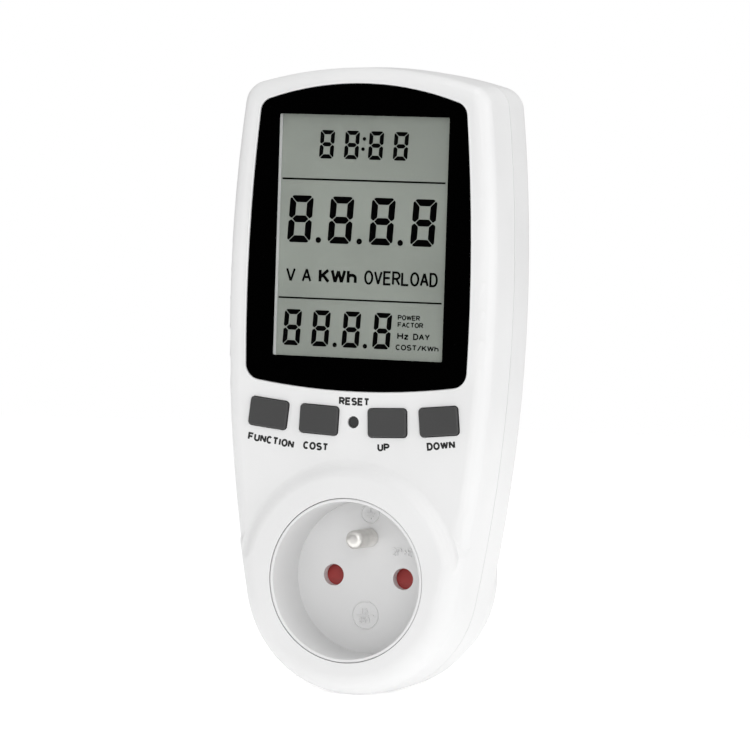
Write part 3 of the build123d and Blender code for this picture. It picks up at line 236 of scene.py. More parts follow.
WIDTHS = {
    "I": 0.15, "W": 1.5, "O": 1.12, "N": 1.05, "A": 1.08, "V": 1.05,
    "h": 0.85, "z": 0.8, "1": 0.7, "/": 0.8,
}
TURNS_BACK = -0.1  # the cosine below which a stroke is cut in two at a bend
LAYERS, LAYER_STEP = 4, 0.001


def stroke_outline(path, width):
    """The outline of a line of constant width along a path: each point is moved sideways by half the width, and
    at a bend by as much more as keeps both sides parallel, up to twice as much."""
    path = np.asarray(path, float)
    step = np.diff(path, axis=0)
    keep = np.hypot(step[:, 0], step[:, 1]) > 1e-4
    path = path[np.append(keep, True)]
    step = np.diff(path, axis=0)
    step /= np.hypot(step[:, 0], step[:, 1])[:, None]
    side = np.column_stack([-step[:, 1], step[:, 0]])
    closed = np.hypot(*(path[0] - path[-1])) < 1e-3
    first, last = (side[-1], side[0]) if closed else (side[0], side[-1])
    before, after = np.vstack([first, side]), np.vstack([side, last])
    mean = before + after
    mean /= np.maximum(np.sum(mean * after, 1), 0.5)[:, None]
    return path + mean * width / 2, path - mean * width / 2, closed


def split_at_bends(path):
    """Cuts a path where it turns back on itself, so that each arm of a V, W or N is a stroke of its own."""
    path = np.asarray(path, float)
    step = np.diff(path, axis=0)
    step /= np.maximum(np.hypot(step[:, 0], step[:, 1])[:, None], 1e-6)
    bends = np.flatnonzero(np.sum(step[1:] * step[:-1], 1) < TURNS_BACK) + 1
    edges = [0, *bends.tolist(), len(path) - 1]
    return [path[a : b + 1] for a, b in zip(edges[:-1], edges[1:])]


def word_strokes(text, width, height, stroke, spacing=0.42):
    """The strokes of a word as pairs of sides in (x, z), centred on the origin. The word fills the width and the
    capitals the height, measured over the outside of the strokes."""
    advance, start = [], 0.0
    for letter in text:
        advance.append((start, WIDTHS.get(letter, 1.0)))
        start += WIDTHS.get(letter, 1.0) + spacing
    across = (width - stroke) / (start - spacing)
    up = height - stroke
    sides = []
    for letter, (left, wide) in zip(text, advance):
        for path in LETTERS.get(letter, []):
            points = np.array(path) * (wide * across, up) + (left * across - (width - stroke) / 2, -up / 2)
            sides.extend(stroke_outline(part, stroke) for part in split_at_bends(points))
    return sides


def lettering(name, words, y_front, thickness, weight=0.2, spacing=0.42):
    """Words as one raised mesh. Each of words is (text, x, z, width, height, turn in degrees). Every stroke is a
    ribbon between its two sides with its front at y_front, carried back by the thickness. The ribbons of one
    letter overlap, so their fronts go back by LAYER_STEP from one to the next, over LAYERS steps, and then
    start again. weight is the stroke's width as a share of the capitals' height."""
    points, faces, start, layer = [], [], 0, 0
    for text, x, z, width, height, turn in words:
        c, s = math.cos(math.radians(turn)), math.sin(math.radians(turn))
        spin = np.array([[c, s], [-s, c]])
        for near, far, closed in word_strokes(text, width, height, height * weight, spacing):
            n = len(near)
            layer = (layer + 1) % LAYERS
            flat = np.vstack([near, far]) @ spin + (x, z)
            for y in (y_front + LAYER_STEP * layer, y_front + thickness):
                points.append(np.column_stack([flat[:, 0], np.full(2 * n, y), flat[:, 1]]))
            i = np.arange(n - 1) + start
            faces.extend(np.column_stack([i, i + 1, i + 1 + n, i + n]))
            faces.extend(np.column_stack([i + 2 * n, i + 3 * n, i + 3 * n + 1, i + 2 * n + 1]))
            faces.extend(np.column_stack([i, i + 2 * n, i + 2 * n + 1, i + 1]))
            faces.extend(np.column_stack([i + n, i + n + 1, i + 3 * n + 1, i + 3 * n]))
            if not closed:
                a, b = start, start + n - 1
                faces.append([a, a + n, a + 3 * n, a + 2 * n])
                faces.append([b, b + 2 * n, b + 3 * n, b + n])
            start += 4 * n
    return face_outwards(make_mesh(name, np.vstack(points), faces, smooth=False))


# ------------------------------------------------------------------------------------------- outlines
def meet(centre_a, radius_a, centre_b, radius_b, near):
    """Where two circles cross, at the crossing nearer to a point."""
    a, b = np.array(centre_a, float), np.array(centre_b, float)
    gap = b - a
    apart = np.hypot(*gap)
    along = (radius_a**2 - radius_b**2 + apart**2) / (2 * apart)
    aside = math.sqrt(max(radius_a**2 - along**2, 0))
    foot, side = a + gap * along / apart, np.array([-gap[1], gap[0]]) / apart * aside
    return min((foot + side, foot - side), key=lambda p: np.hypot(*(p - np.array(near))))


def rounded_arcs(circles, corners_near, radii, samples=40):
    """An outline bounded by arcs of circles taken anticlockwise, with each corner rounded.
    The corner between two circles is an arc whose centre lies its radius inside both, and which touches both."""
    centres = []
    for k, near in enumerate(corners_near):
        (ca, ra), (cb, rb) = circles[k], circles[(k + 1) % len(circles)]
        centres.append(meet(ca, ra - radii[k], cb, rb - radii[k], near))
    parts = []
    for k, (centre, radius) in enumerate(circles):
        centre = np.array(centre, float)
        start, end = centres[k - 1] - centre, centres[k] - centre
        a0, a1 = math.atan2(start[1], start[0]), math.atan2(end[1], end[0])
        a1 += 2 * math.pi * round((a0 - a1) / (2 * math.pi))
        turn = np.linspace(a0, a1, samples)
        parts.append(centre + radius * np.column_stack([np.cos(turn), np.sin(turn)]))
        following = np.array(circles[(k + 1) % len(circles)][0], float)
        out = centres[k] - following
        b1 = math.atan2(out[1], out[0])
        b1 += 2 * math.pi * round((a1 - b1) / (2 * math.pi))
        turn = np.linspace(a1, b1, 12)[1:-1]
        parts.append(centres[k] + radii[k] * np.column_stack([np.cos(turn), np.sin(turn)]))
    return np.vstack(parts)


def outward(outline):
    """The unit normals of a closed anticlockwise outline, each halfway between those of its two sides."""
    side = np.roll(outline, -1, 0) - outline
    side /= np.maximum(np.hypot(side[:, 0], side[:, 1])[:, None], 1e-9)
    mean = side + np.roll(side, 1, 0)
    mean /= np.maximum(np.hypot(mean[:, 0], mean[:, 1])[:, None], 1e-9)
    return np.column_stack([mean[:, 1], -mean[:, 0]])


def band(name, outline, profile):
    """A closed profile carried round an outline. Each point of the profile is (distance outwards, y): the
    outline is moved along its normal by the first and set at the depth of the second."""
    profile = np.asarray(profile, float)
    normal = outward(outline)
    flat = outline[None, :, :] + profile[:, None, :1] * normal[None, :, :]
    depth = np.repeat(profile[:, 1][:, None], len(outline), 1)
    points = np.stack([flat[..., 0], depth, flat[..., 1]], -1).reshape(-1, 3)
    faces = grid_faces(len(profile), len(outline), wrap_rows=True)
    return face_outwards(make_mesh(name, points, faces))


def circle_outline(radius, x=0.0, z=0.0, samples=96):
    """A circle drawn anticlockwise."""
    turn = np.linspace(0, 2 * math.pi, samples, endpoint=False)
    return np.column_stack([x + radius * np.cos(turn), z + radius * np.sin(turn)])


def half_round(width, height, base_y, samples=9):
    """The profile of a half-round bead standing forward of base_y: half an ellipse and its flat back."""
    turn = np.linspace(0, math.pi, samples)
    bead = np.column_stack([-width / 2 * np.cos(turn), base_y - height * np.sin(turn)])
    return np.vstack([bead, [[width / 2, base_y + ROOT], [-width / 2, base_y + ROOT]]])


def rectangle(x0, x1, z0, z1):
    """A rectangle drawn anticlockwise."""
    return np.array([(x0, z0), (x1, z0), (x1, z1), (x0, z1)])


PANEL_HALF_WIDTH, PANEL_SIDE_RADIUS, PANEL_WIDEST_Z = 30.2, 485.0, 70.0
PANEL_TOP_Z, PANEL_TOP_RADIUS = 124.45, 79.0
PANEL_BOTTOM_Z, PANEL_BOTTOM_RADIUS = 47.4, 180.0
PANEL_CORNERS = [(29, 118), (-29, 118), (-30, 50), (30, 50)]
PANEL_CORNER_RADII = [3.5, 3.5, 4.0, 4.0]


def panel_outline():
    """The display panel's outline: four shallow arcs with rounded corners."""
    side = PANEL_HALF_WIDTH - PANEL_SIDE_RADIUS
    circles = [
        ((side, PANEL_WIDEST_Z), PANEL_SIDE_RADIUS),
        ((0, PANEL_TOP_Z - PANEL_TOP_RADIUS), PANEL_TOP_RADIUS),
        ((-side, PANEL_WIDEST_Z), PANEL_SIDE_RADIUS),
        ((0, PANEL_BOTTOM_Z + PANEL_BOTTOM_RADIUS), PANEL_BOTTOM_RADIUS),
    ]
    return rounded_arcs(circles, PANEL_CORNERS, PANEL_CORNER_RADII)


# ------------------------------------------------------------------------------------------- materials
def add(tree, kind, settings=None, links=None):
    """Adds a node of a kind, sets its properties and sockets, and links sockets to other nodes' outputs."""
    made = tree.nodes.new(kind)
    for name, value in (settings or {}).items():
        if name in made.inputs:
            made.inputs[name].default_value = value
        else:
            setattr(made, name, value)
    for name, output in (links or {}).items():
        tree.links.new(output, made.inputs[name])
    return made


def blank(name):
    """An empty material with its tree, shader and Object coordinates."""
    material = bpy.data.materials.new(name)
    material.use_nodes = True
    tree = material.node_tree
    where = tree.nodes.new("ShaderNodeTexCoord").outputs["Object"]
    return material, tree, tree.nodes["Principled BSDF"], where


def noise(tree, where, size_mm, detail, **more):
    """Noise with spots about size_mm across."""
    settings = {"Scale": 1 / (size_mm * MM), "Detail": detail, **more}
    return add(tree, "ShaderNodeTexNoise", settings, {"Vector": where}).outputs["Fac"]


def tinted(colour, scale, lift=0.0):
    """A colour made darker or paler, and never brighter than white."""
    return tuple(min(c * scale + lift, 1.0) for c in colour)


def colour_by(tree, shader, source, low, high, colour_low, colour_high):
    """Gives the shader a colour between two, as a value goes from low to high."""
    ramp = add(tree, "ShaderNodeMapRange", {"From Min": low, "From Max": high}, {"Value": source})
    mix = add(tree, "ShaderNodeMix", {"data_type": "RGBA"}, {"Factor": ramp.outputs["Result"]})
    mix.inputs[6].default_value = (*colour_low, 1)
    mix.inputs[7].default_value = (*colour_high, 1)
    tree.links.new(mix.outputs[2], shader.inputs["Base Color"])


def ranged(tree, source, low, high, to_low, to_high):
    """A value mapped from one range to another."""
    settings = {"From Min": low, "From Max": high, "To Min": to_low, "To Max": to_high}
    return add(tree, "ShaderNodeMapRange", settings, {"Value": source}).outputs["Result"]


def gloss_by(tree, shader, source, low, high):
    """Gives the shader a roughness between low and high that follows a noise."""
    tree.links.new(ranged(tree, source, 0.3, 0.7, low, high), shader.inputs["Roughness"])


def relief_by(tree, shader, height, strength, depth_mm):
    """Shades the surface as if a height raised it by up to depth_mm."""
    settings = {"Strength": strength, "Distance": depth_mm * MM}
    bump = add(tree, "ShaderNodeBump", settings, {"Height": height})
    tree.links.new(bump.outputs["Normal"], shader.inputs["Normal"])


def moulded(name, colour, grain_mm, roughness, bump, drift=0.02):
    """ABS or polyamide from a spark-eroded tool: a fine even grain that breaks the highlight and varies its
    gloss, and a slow drift of shade from the melt's flow. The grain of such a tool is about 0.05 mm and is
    drawn at grain_mm, coarse enough to show."""
    material, tree, shader, where = blank(name)
    grain = noise(tree, where, grain_mm, 3.0, Roughness=0.6)
    flow = noise(tree, where, 30, 2.0)
    colour_by(tree, shader, flow, 0.35, 0.65, tinted(colour, 1 - drift), tinted(colour, 1 + drift))
    gloss_by(tree, shader, grain, roughness - 0.05, roughness + 0.05)
    relief_by(tree, shader, grain, bump, 0.02)
    shader.inputs["IOR"].default_value = 1.54
    return material


def turned_nickel(name, colour, roughness=0.22):
    """Nickel-plated brass turned on a lathe: a warm grey metal whose fine turning marks, 0.2 mm apart, run round
    the pin and spread its highlight along it."""
    material, tree, shader, where = blank(name)
    split = add(tree, "ShaderNodeSeparateXYZ", {}, {"Vector": where})
    marks = add(tree, "ShaderNodeMath", {"operation": "MULTIPLY"}, {0: split.outputs["Y"]})
    marks.inputs[1].default_value = 2 * math.pi / (0.2 * MM)
    wave = add(tree, "ShaderNodeMath", {"operation": "SINE"}, {0: marks.outputs[0]})
    stain = noise(tree, where, 4, 4.0)
    colour_by(tree, shader, stain, 0.35, 0.7, colour, tinted(colour, 0.8))
    gloss_by(tree, shader, stain, roughness - 0.06, roughness + 0.1)
    relief_by(tree, shader, wave.outputs[0], 0.25, 0.01)
    shader.inputs["Metallic"].default_value = 1.0
    return material


def pressed_metal(name, colour, roughness=0.35):
    """Sheet metal as pressed: rolling marks 0.3 mm apart, drawn out along Y, and a slow change of tarnish."""
    material, tree, shader, where = blank(name)
    stretched = add(tree, "ShaderNodeMapping", {}, {"Vector": where})
    stretched.inputs["Scale"].default_value = (1.0, 0.08, 1.0)
    rolled = noise(tree, stretched.outputs[0], 0.3, 2.0)
    stain = noise(tree, where, 5, 3.0)
    colour_by(tree, shader, stain, 0.35, 0.7, colour, tinted(colour, 0.75))
    gloss_by(tree, shader, rolled, roughness - 0.08, roughness + 0.08)
    shader.inputs["Metallic"].default_value = 1.0
    return material


def clear_sheet(name, tint, roughness, index):
    """Clear cast acrylic or glass: polished, with a breath of haze that varies over millimetres."""
    material, tree, shader, where = blank(name)
    gloss_by(tree, shader, noise(tree, where, 8, 2.0), roughness, roughness + 0.01)
    shader.inputs["Base Color"].default_value = (*tint, 1)
    shader.inputs["Transmission Weight"].default_value = 1.0
    shader.inputs["IOR"].default_value = index
    return material


def printed(name, colour, roughness, gloss=0.5):
    """Printed ink: a thin even film whose cover varies a little, with thin spots 0.3 mm apart. A film that is
    bonded behind glass or acrylic has no gloss of its own."""
    material, tree, shader, where = blank(name)
    film = noise(tree, where, 0.3, 2.0)
    colour_by(tree, shader, film, 0.45, 0.75, colour, tinted(colour, 1.6, 0.001))
    gloss_by(tree, shader, film, roughness, roughness + 0.08)
    shader.inputs["Specular IOR Level"].default_value = gloss
    return material


def display_film(name, colour):
    """The reflective rear film of a liquid crystal display seen through its glass: grey-green, with a fine
    sparkle of 0.15 mm drawn at 0.35 mm so that it shows, a slow unevenness, and a satin gloss."""
    material, tree, shader, where = blank(name)
    sparkle = noise(tree, where, 0.35, 1.0)
    slow = noise(tree, where, 22, 1.0)
    both = add(tree, "ShaderNodeMath", {"operation": "MULTIPLY_ADD"}, {0: sparkle, 2: slow})
    both.inputs[1].default_value = 0.5
    colour_by(tree, shader, both.outputs[0], 0.55, 0.95, tinted(colour, 0.93), tinted(colour, 1.06))
    gloss_by(tree, shader, sparkle, 0.28, 0.36)
    shader.inputs["IOR"].default_value = 1.5
    return material


def cast_surface(name, colour, speck_mm, roughness):
    """Resin, rubber, insulation or solder mask: one colour with specks and a slightly uneven gloss."""
    material, tree, shader, where = blank(name)
    speck = noise(tree, where, speck_mm, 4.0)
    colour_by(tree, shader, speck, 0.35, 0.65, tinted(colour, 0.85), tinted(colour, 1.15, 0.002))
    gloss_by(tree, shader, speck, roughness - 0.06, roughness + 0.06)
    return material


def paint_node(node, material):
    """Gives a part that keeps its own mesh its material."""
    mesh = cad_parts[node].data
    if mesh.materials:
        for i in range(len(mesh.materials)):
            mesh.materials[i] = material
    else:
        mesh.materials.append(material)


# ------------------------------------------------------------------------------------------- settings
def colour_setting(name, description, code):
    """A colour in the panel, with an sRGB hex colour as its default."""
    return FloatVectorProperty(name=name, description=description, subtype="COLOR", size=3, default=linear(code))


def number_setting(name, description, default, low, high, **more):
    """A number in the panel and the range it may have."""
    return FloatProperty(name=name, description=description, default=default, min=low, max=high, **more)


class CaseSettings(bpy.types.PropertyGroup):
    case_colour: colour_setting("Case", "Colour of the two shells", "E3E3E3")
    insert_colour: colour_setting("Outlet", "Colour of the outlet's cup", "E0E0E0")
    key_colour: colour_setting("Keys", "Colour of the four keys", "363636")
    shutter_colour: colour_setting("Shutter", "Colour of the shutter", "A83A38")
    nickel_colour: colour_setting("Pins", "Colour of the plated pins", "D2CFC8")
    grain: number_setting("Grain", "Size of the moulded grain as drawn, in millimetres", 0.6, 0.1, 2.0)
    lip_width: number_setting("Panel lip", "Width of the bead round the panel, in millimetres", 0.5, 0.1, 1.5)
    lip_height: number_setting("Lip height", "Height of the bead round the panel, in millimetres", 0.12, 0.02, 0.5)


class DisplaySettings(bpy.types.PropertyGroup):
    film_colour: colour_setting("Film", "Colour of the display's background", "A0A69E")
    segment_colour: colour_setting("Segments", "Colour of a dark segment", "020202")
    stroke: number_setting("Stroke", "Width of a segment as a share of its digit's width", 0.27, 0.1, 0.35)
    gap: number_setting("Gap", "Gap between segments, in millimetres", 0.18, 0.02, 0.4)


class LetteringSettings(bpy.types.PropertyGroup):
    ink_colour: colour_setting("Ink", "Colour of the printed words", "040404")
    capital_height: number_setting("Capitals", "Height of the printed capitals, in millimetres", 2.0, 1.0, 4.0)
    film: number_setting("Ink film", "Thickness of the printed ink, in millimetres", 0.02, 0.005, 0.1)
    relief: number_setting("Relief", "Height of the marks moulded in the outlet, in millimetres", 0.3, 0.05, 0.5)


class StageSettings(bpy.types.PropertyGroup):
    floor_colour: colour_setting("Floor", "Colour of the floor", "FDFDFD")
    glow: number_setting("Glow", "Light that comes up through the opal floor", 0.36, 0.0, 1.0)
    floor_size: number_setting("Floor size", "Radius of the floor", 1.3, 0.2, 5.0, unit="LENGTH")
    backdrop: number_setting("Backdrop", "Brightness of the white behind the object", 1.0, 0.0, 3.0)
    surround: number_setting("Surround", "Brightness of the light from all round", 0.6, 0.0, 3.0)
    mirrored: number_setting("Mirrored", "Brightness of the ceiling in reflections", 0.9, 0.0, 3.0)
    sun: number_setting("Sun", "Strength of the soft light in front", 0.62, 0.0, 10.0)
    lamp_power: number_setting("Lamps", "Power of the soft boxes", 1.0, 0.0, 10.0)
    lens: number_setting("Lens", "Focal length in millimetres", 227.2, 20.0, 400.0)
    soft_boxes: IntProperty(
        name="Soft boxes", description="How many of the soft boxes are on", default=3, min=1, max=3
    )


# ------------------------------------------------------------------------------------------- operators
LIP_OFFSET = 0.4  # from the panel's edge to the middle of the bead round it


class POWERMETER_OT_case(bpy.types.Operator):
    """Case shells with smooth shading, satin grain and the bead round the panel"""

    bl_idname = "powermeter.case"
    bl_label = "Case"

    def execute(self, context):
        settings = context.scene.powermeter_case
        white = moulded("white satin ABS", tuple(settings.case_colour), settings.grain, 0.42, 0.12)
        for node in ("front_housing", "rear_housing"):
            mesh = smooth_copy(node, node + "_moulding")
            weigh_normals(place(mesh, white, "meter", [node]))
        bead = half_round(settings.lip_width, settings.lip_height, FACE_Y) + (LIP_OFFSET, 0)
        place(band("panel_lip", panel_outline(), bead), white, "meter")
        return {"FINISHED"}


class POWERMETER_OT_panel(bpy.types.Operator):
    """Clear panel over its black print"""

    bl_idname = "powermeter.panel"
    bl_label = "Display panel"

    def execute(self, context):
        paint_node("panel_lens", clear_sheet("clear cast acrylic", (1, 1, 1), 0.0, 1.49))
        # Light passes the clear panel, so it casts no shadow on the display.
        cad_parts["panel_lens"].visible_shadow = False
        paint_node("panel_mask", printed("black screen print", (0.0, 0.0, 0.0), 0.5, 0.0))
        return {"FINISHED"}


def softened(outlines, radius, steps=4):
    """Outlines of n points each with every corner rounded: a corner becomes a parabola between the points that
    lie the radius away from it along its two sides, or a little under half a side where that is shorter."""
    outlines = np.asarray(outlines, float)
    curves = []
    for shift in (1, -1):
        side = np.roll(outlines, shift, 1) - outlines
        length = np.linalg.norm(side, axis=2, keepdims=True)
        curves.append(outlines + side / length * np.minimum(radius, length / 2.2))
    t = np.linspace(0, 1, steps)[None, None, :, None]
    start, end, corner = curves[0][:, :, None], curves[1][:, :, None], outlines[:, :, None]
    bent = (1 - t) ** 2 * start + 2 * t * (1 - t) * corner + t**2 * end
    return bent.reshape(len(outlines), -1, 2)


def seven_segments(width, height, stroke, gap):
    """The seven segments of a digit in a box whose lower left corner is the origin. The top and bottom ones are
    trapezoids and the middle one a hexagon. The side ones are cut slantwise where they meet these, so that the
    gaps between segments run at 45 degrees, and the digit's four outer corners are cut off by c."""
    w, h, s, k, c = width, height, stroke, gap * 0.7071, stroke * 0.5
    m = h / 2
    top = [
        (c, h), (w - c, h), (w - (c + k) / 2, h - (c - k) / 2),
        (w - s - k, h - s), (s + k, h - s), ((c + k) / 2, h - (c - k) / 2),
    ]
    side = [
        (0, h - c), ((c - k) / 2, h - (c + k) / 2), (s, h - s - k),
        (s, m + s / 2 + k), (s * 0.45, m + k), (0, m + s * 0.4),
    ]
    middle = [
        (s / 2 + k, m), (s + k, m + s / 2), (w - s - k, m + s / 2),
        (w - s / 2 - k, m), (w - s - k, m - s / 2), (s + k, m - s / 2),
    ]
    top, side, middle = (np.array(points) for points in (top, side, middle))
    flip_x, flip_z = np.array([-1, 1]), np.array([1, -1])
    right = side * flip_x + (w, 0)
    low = (top * flip_z + (0, h), side * flip_z + (0, h), right * flip_z + (0, h))
    return softened(np.stack([top, side, right, middle, *low]), stroke * 0.12)


def dot(x, z, size):
    """A round dot."""
    return circle_outline(size / 2, x, z, 24)


INK_DEPTH = 0.03
LIGHT_TYPE, BOLD_TYPE, MARK_TYPE, LABEL_TYPE = 0.155, 0.21, 0.14, 0.25  # stroke widths for a height of 1
LABEL_SPACING, LABEL_ROOT = 0.52, 0.02
DIGIT_ROWS = (
    {"left": (-12.95, -6.18, 0.36, 7.1), "low": 105.5, "width": 3.9, "height": 7.15, "lean": 0.049},
    {"left": (-21.02, -9.93, 1.29, 12.49), "low": 84.2, "width": 6.4, "height": 11.85, "lean": 0.056},
    {"left": (-21.43, -13.57, -5.25, 3.13), "low": 58.2, "width": 4.7, "height": 9.1, "lean": 0.058},
)
DOTS = (
    (-0.71, 110.68, 0.95),
    (-1.01, 108.11, 0.95),
    (-12.4, 84.95, 1.5),
    (-1.26, 84.95, 1.5),
    (9.85, 84.95, 1.5),
    (-7.05, 58.75, 1.2),
    (1.18, 58.75, 1.2),
)
RULES = ((-22.75, 21.5, 100.2, 0.46), (-22.8, 21.5, 70.2, 0.42))
DISPLAY_WORDS = (
    ("V", -19.65, 76.0, 2.65, 3.6, 0),
    ("A", -15.3, 76.0, 2.65, 3.6, 0),
    ("OVERLOAD", 10.35, 76.0, 19.9, 3.6, 0),
)
BOLD_DISPLAY_WORDS = (
    ("KWh", -6.8, 76.0, 10.4, 3.7, 0),
    ("POWER", 12.85, 66.3, 6.0, 1.3, 0),
    ("FACTOR", 13.3, 64.5, 6.9, 1.3, 0),
    ("Hz", 11.4, 61.7, 3.1, 1.75, 0),
    ("DAY", 16.4, 61.65, 4.5, 1.6, 0),
    ("COST/KWh", 15.3, 58.85, 11.6, 1.45, 0),
)


class POWERMETER_OT_display(bpy.types.Operator):
    """Liquid crystal display: film, glass, digits, words and rules"""

    bl_idname = "powermeter.display"
    bl_label = "Display"

    def execute(self, context):
        settings = context.scene.powermeter_display
        paint_node("lcd_polariser", display_film("display film under glass", tuple(settings.film_colour)))
        for node in ("lcd_front_glass", "lcd_rear_glass"):
            paint_node(node, clear_sheet("soda-lime display glass", (0.94, 0.97, 0.95), 0.02, 1.52))
        paint_node("lcd_reflector", display_film("reflector film", tuple(settings.film_colour)))
        ink = printed("dark liquid crystal", tuple(settings.segment_colour), 0.4, 0.0)
        front = DISPLAY_Y - INK_DEPTH
        for number, row in enumerate(DIGIT_ROWS):
            stroke = settings.stroke * row["width"]
            shapes = []
            for left in row["left"]:
                digit = seven_segments(row["width"], row["height"], stroke, settings.gap)
                lean = digit[..., 1] * row["lean"]
                shapes.extend(digit + np.stack([left + lean, np.full_like(lean, row["low"])], -1))
            place(plate(f"digits_{number + 1}", shapes, front, DISPLAY_Y), ink, "meter")
        marks = [dot(*d) for d in DOTS]
        marks.extend(rectangle(x0, x1, z - height / 2, z + height / 2) for x0, x1, z, height in RULES)
        place(plate("dots_and_rules", marks, front, DISPLAY_Y), ink, "meter")
        for name, words, weight in (
            ("display_words", DISPLAY_WORDS, LIGHT_TYPE),
            ("display_bold_words", BOLD_DISPLAY_WORDS, BOLD_TYPE),
        ):
            place(lettering(name, words, front, INK_DEPTH, weight), ink, "meter")
        return {"FINISHED"}


class POWERMETER_OT_keys(bpy.types.Operator):
    """Four keys and the reset button"""

    bl_idname = "powermeter.keys"
    bl_label = "Keys"

    def execute(self, context):
        settings = context.scene.powermeter_case
        grey = moulded("dark grey satin ABS", tuple(settings.key_colour), 0.4, 0.5, 0.2, drift=0.05)
        dark = moulded("dark grey button ABS", linear("252525"), 0.4, 0.55, 0.2, drift=0.05)
        for name in ("function", "cost", "up", "down"):
            mesh = smooth_copy("key_" + name, "keycap_" + name, 40.0)
            weigh_normals(place(mesh, grey, name + "_key", ["key_" + name]))
        mesh = smooth_copy("key_reset", "button_reset", 40.0)
        place(mesh, dark, "reset_key", ["key_reset"])
        return {"FINISHED"}


OUTLET_MARKS = (
    ("16", -0.8, -8.8, 2.0, 1.5, 0),
    ("250", -0.8, -11.0, 3.0, 1.5, 0),
    ("~", 1.7, -9.8, 1.4, 1.5, 0),
    ("2P+E", 9.0, 6.8, 5.6, 2.1, 0),
)
OUTLET_BARS = (  # the earth sign's four bars and the rating's line: middle x and z, width and height
    (0.0, 17.1, 0.35, 1.3),
    (0.0, 16.1, 2.6, 0.35),
    (0.0, 15.4, 1.7, 0.35),
    (0.0, 14.8, 0.8, 0.35),
    (-1.2, -9.85, 3.4, 0.25),
)


class POWERMETER_OT_outlet(bpy.types.Operator):
    """Outlet cup with its moulded marks, red shutter and earth pin"""

    bl_idname = "powermeter.outlet"
    bl_label = "Outlet"

    def execute(self, context):
        settings = context.scene.powermeter_case
        words = context.scene.powermeter_lettering
        white = moulded("white glossy polyamide", tuple(settings.insert_colour), 0.6, 0.33, 0.08)
        mesh = smooth_copy("outlet_insert", "outlet_cup")
        weigh_normals(place(mesh, white, "meter", ["outlet_insert"]))
        red = moulded("red satin polyamide", tuple(settings.shutter_colour), 0.4, 0.45, 0.1, drift=0.05)
        paint_node("shutter", red)
        nickel = turned_nickel("turned nickel-plated brass", linear("ECEAE6"), 0.38)
        mesh = smooth_copy("earth_pin", "earth_pin_turned", 50.0)
        place(mesh, nickel, "meter", ["earth_pin"])
        front = FLOOR_Y - words.relief
        marks = lettering("outlet_marks", OUTLET_MARKS, front, words.relief + ROOT, MARK_TYPE)
        place(marks, white, "meter")
        ring = half_round(0.3, words.relief, FLOOR_Y)
        place(band("rating_ring", circle_outline(3.5, -0.5, -9.8), ring), white, "meter")
        place(band("earth_ring", circle_outline(2.4, 0.0, 16.1), ring), white, "meter")
        bars = [rectangle(x - w / 2, x + w / 2, z - h / 2, z + h / 2) for x, z, w, h in OUTLET_BARS]
        place(plate("earth_mark", bars, front, FLOOR_Y + ROOT), white, "meter")
        return {"FINISHED"}


class POWERMETER_OT_plug(bpy.types.Operator):
    """Plug pins, earth clips and the screws seen from behind"""

    bl_idname = "powermeter.plug"
    bl_label = "Plug"

    def execute(self, context):
        settings = context.scene.powermeter_case
        nickel = turned_nickel("turned nickel-plated pins", tuple(settings.nickel_colour))
        for side in ("live", "neutral"):
            mesh = smooth_copy("plug_pin_" + side, "plug_pin_turned_" + side, 50.0)
            place(mesh, nickel, "meter", ["plug_pin_" + side])
        clip = pressed_metal("pressed nickel-plated spring brass", tuple(settings.nickel_colour))
        for side in ("upper", "lower"):
            mesh = smooth_copy("earth_clip_" + side, "earth_clip_pressed_" + side, 40.0)
            place(mesh, clip, "meter", ["earth_clip_" + side])
        zinc = pressed_metal("zinc-plated screw steel", linear("B9BBBD"), 0.3)
        mesh = smooth_copy("case_screws", "case_screws_plated", 40.0)
        place(mesh, zinc, "meter", ["case_screws"])
        for node in ("display_board_screws", "main_board_screws", "carrier_screws"):
            paint_node(node, zinc)
        return {"FINISHED"}


INNER_FINISHES = (  # name, colour, size of its specks in millimetres, roughness, parts
    ("green solder mask", "1E5A32", 2.0, 0.35, ("display_board", "main_board")),
    ("black epoxy", "161616", 0.5, 0.4, ("display_chip", "metering_chip", "board_link")),
    ("layered contact rubber", "202020", 0.3, 0.6, ("zebra_strips",)),
    ("white frame ABS", "D8D8D2", 0.6, 0.5, ("lcd_frame",)),
    ("grey contact moulding", "B9B9B2", 0.6, 0.5, ("contact_carrier", "pin_holder")),
    ("brown wire insulation", "5A3A26", 0.6, 0.4, ("live_in_wire", "live_out_wire")),
    ("blue wire insulation", "2A4E8C", 0.6, 0.4, ("neutral_wire",)),
    ("red lead insulation", "7E2020", 0.6, 0.4, ("battery_leads",)),
    ("yellow capacitor box", "C8A63C", 0.8, 0.4, ("mains_capacitor",)),
    ("navy capacitor sleeve", "1D2740", 0.8, 0.3, ("smoothing_capacitor",)),
    ("blue varistor coat", "27427A", 0.6, 0.35, ("varistor",)),
    ("green battery sleeve", "3F7A46", 0.8, 0.3, ("battery",)),
    ("black switch moulding", "2A2A2A", 0.4, 0.5, ()),  # every switch and plunger
)
BRASS_PARTS = (
    "socket_contact_live", "socket_contact_neutral", "neutral_link", "earth_sleeve", "earth_strap",
)


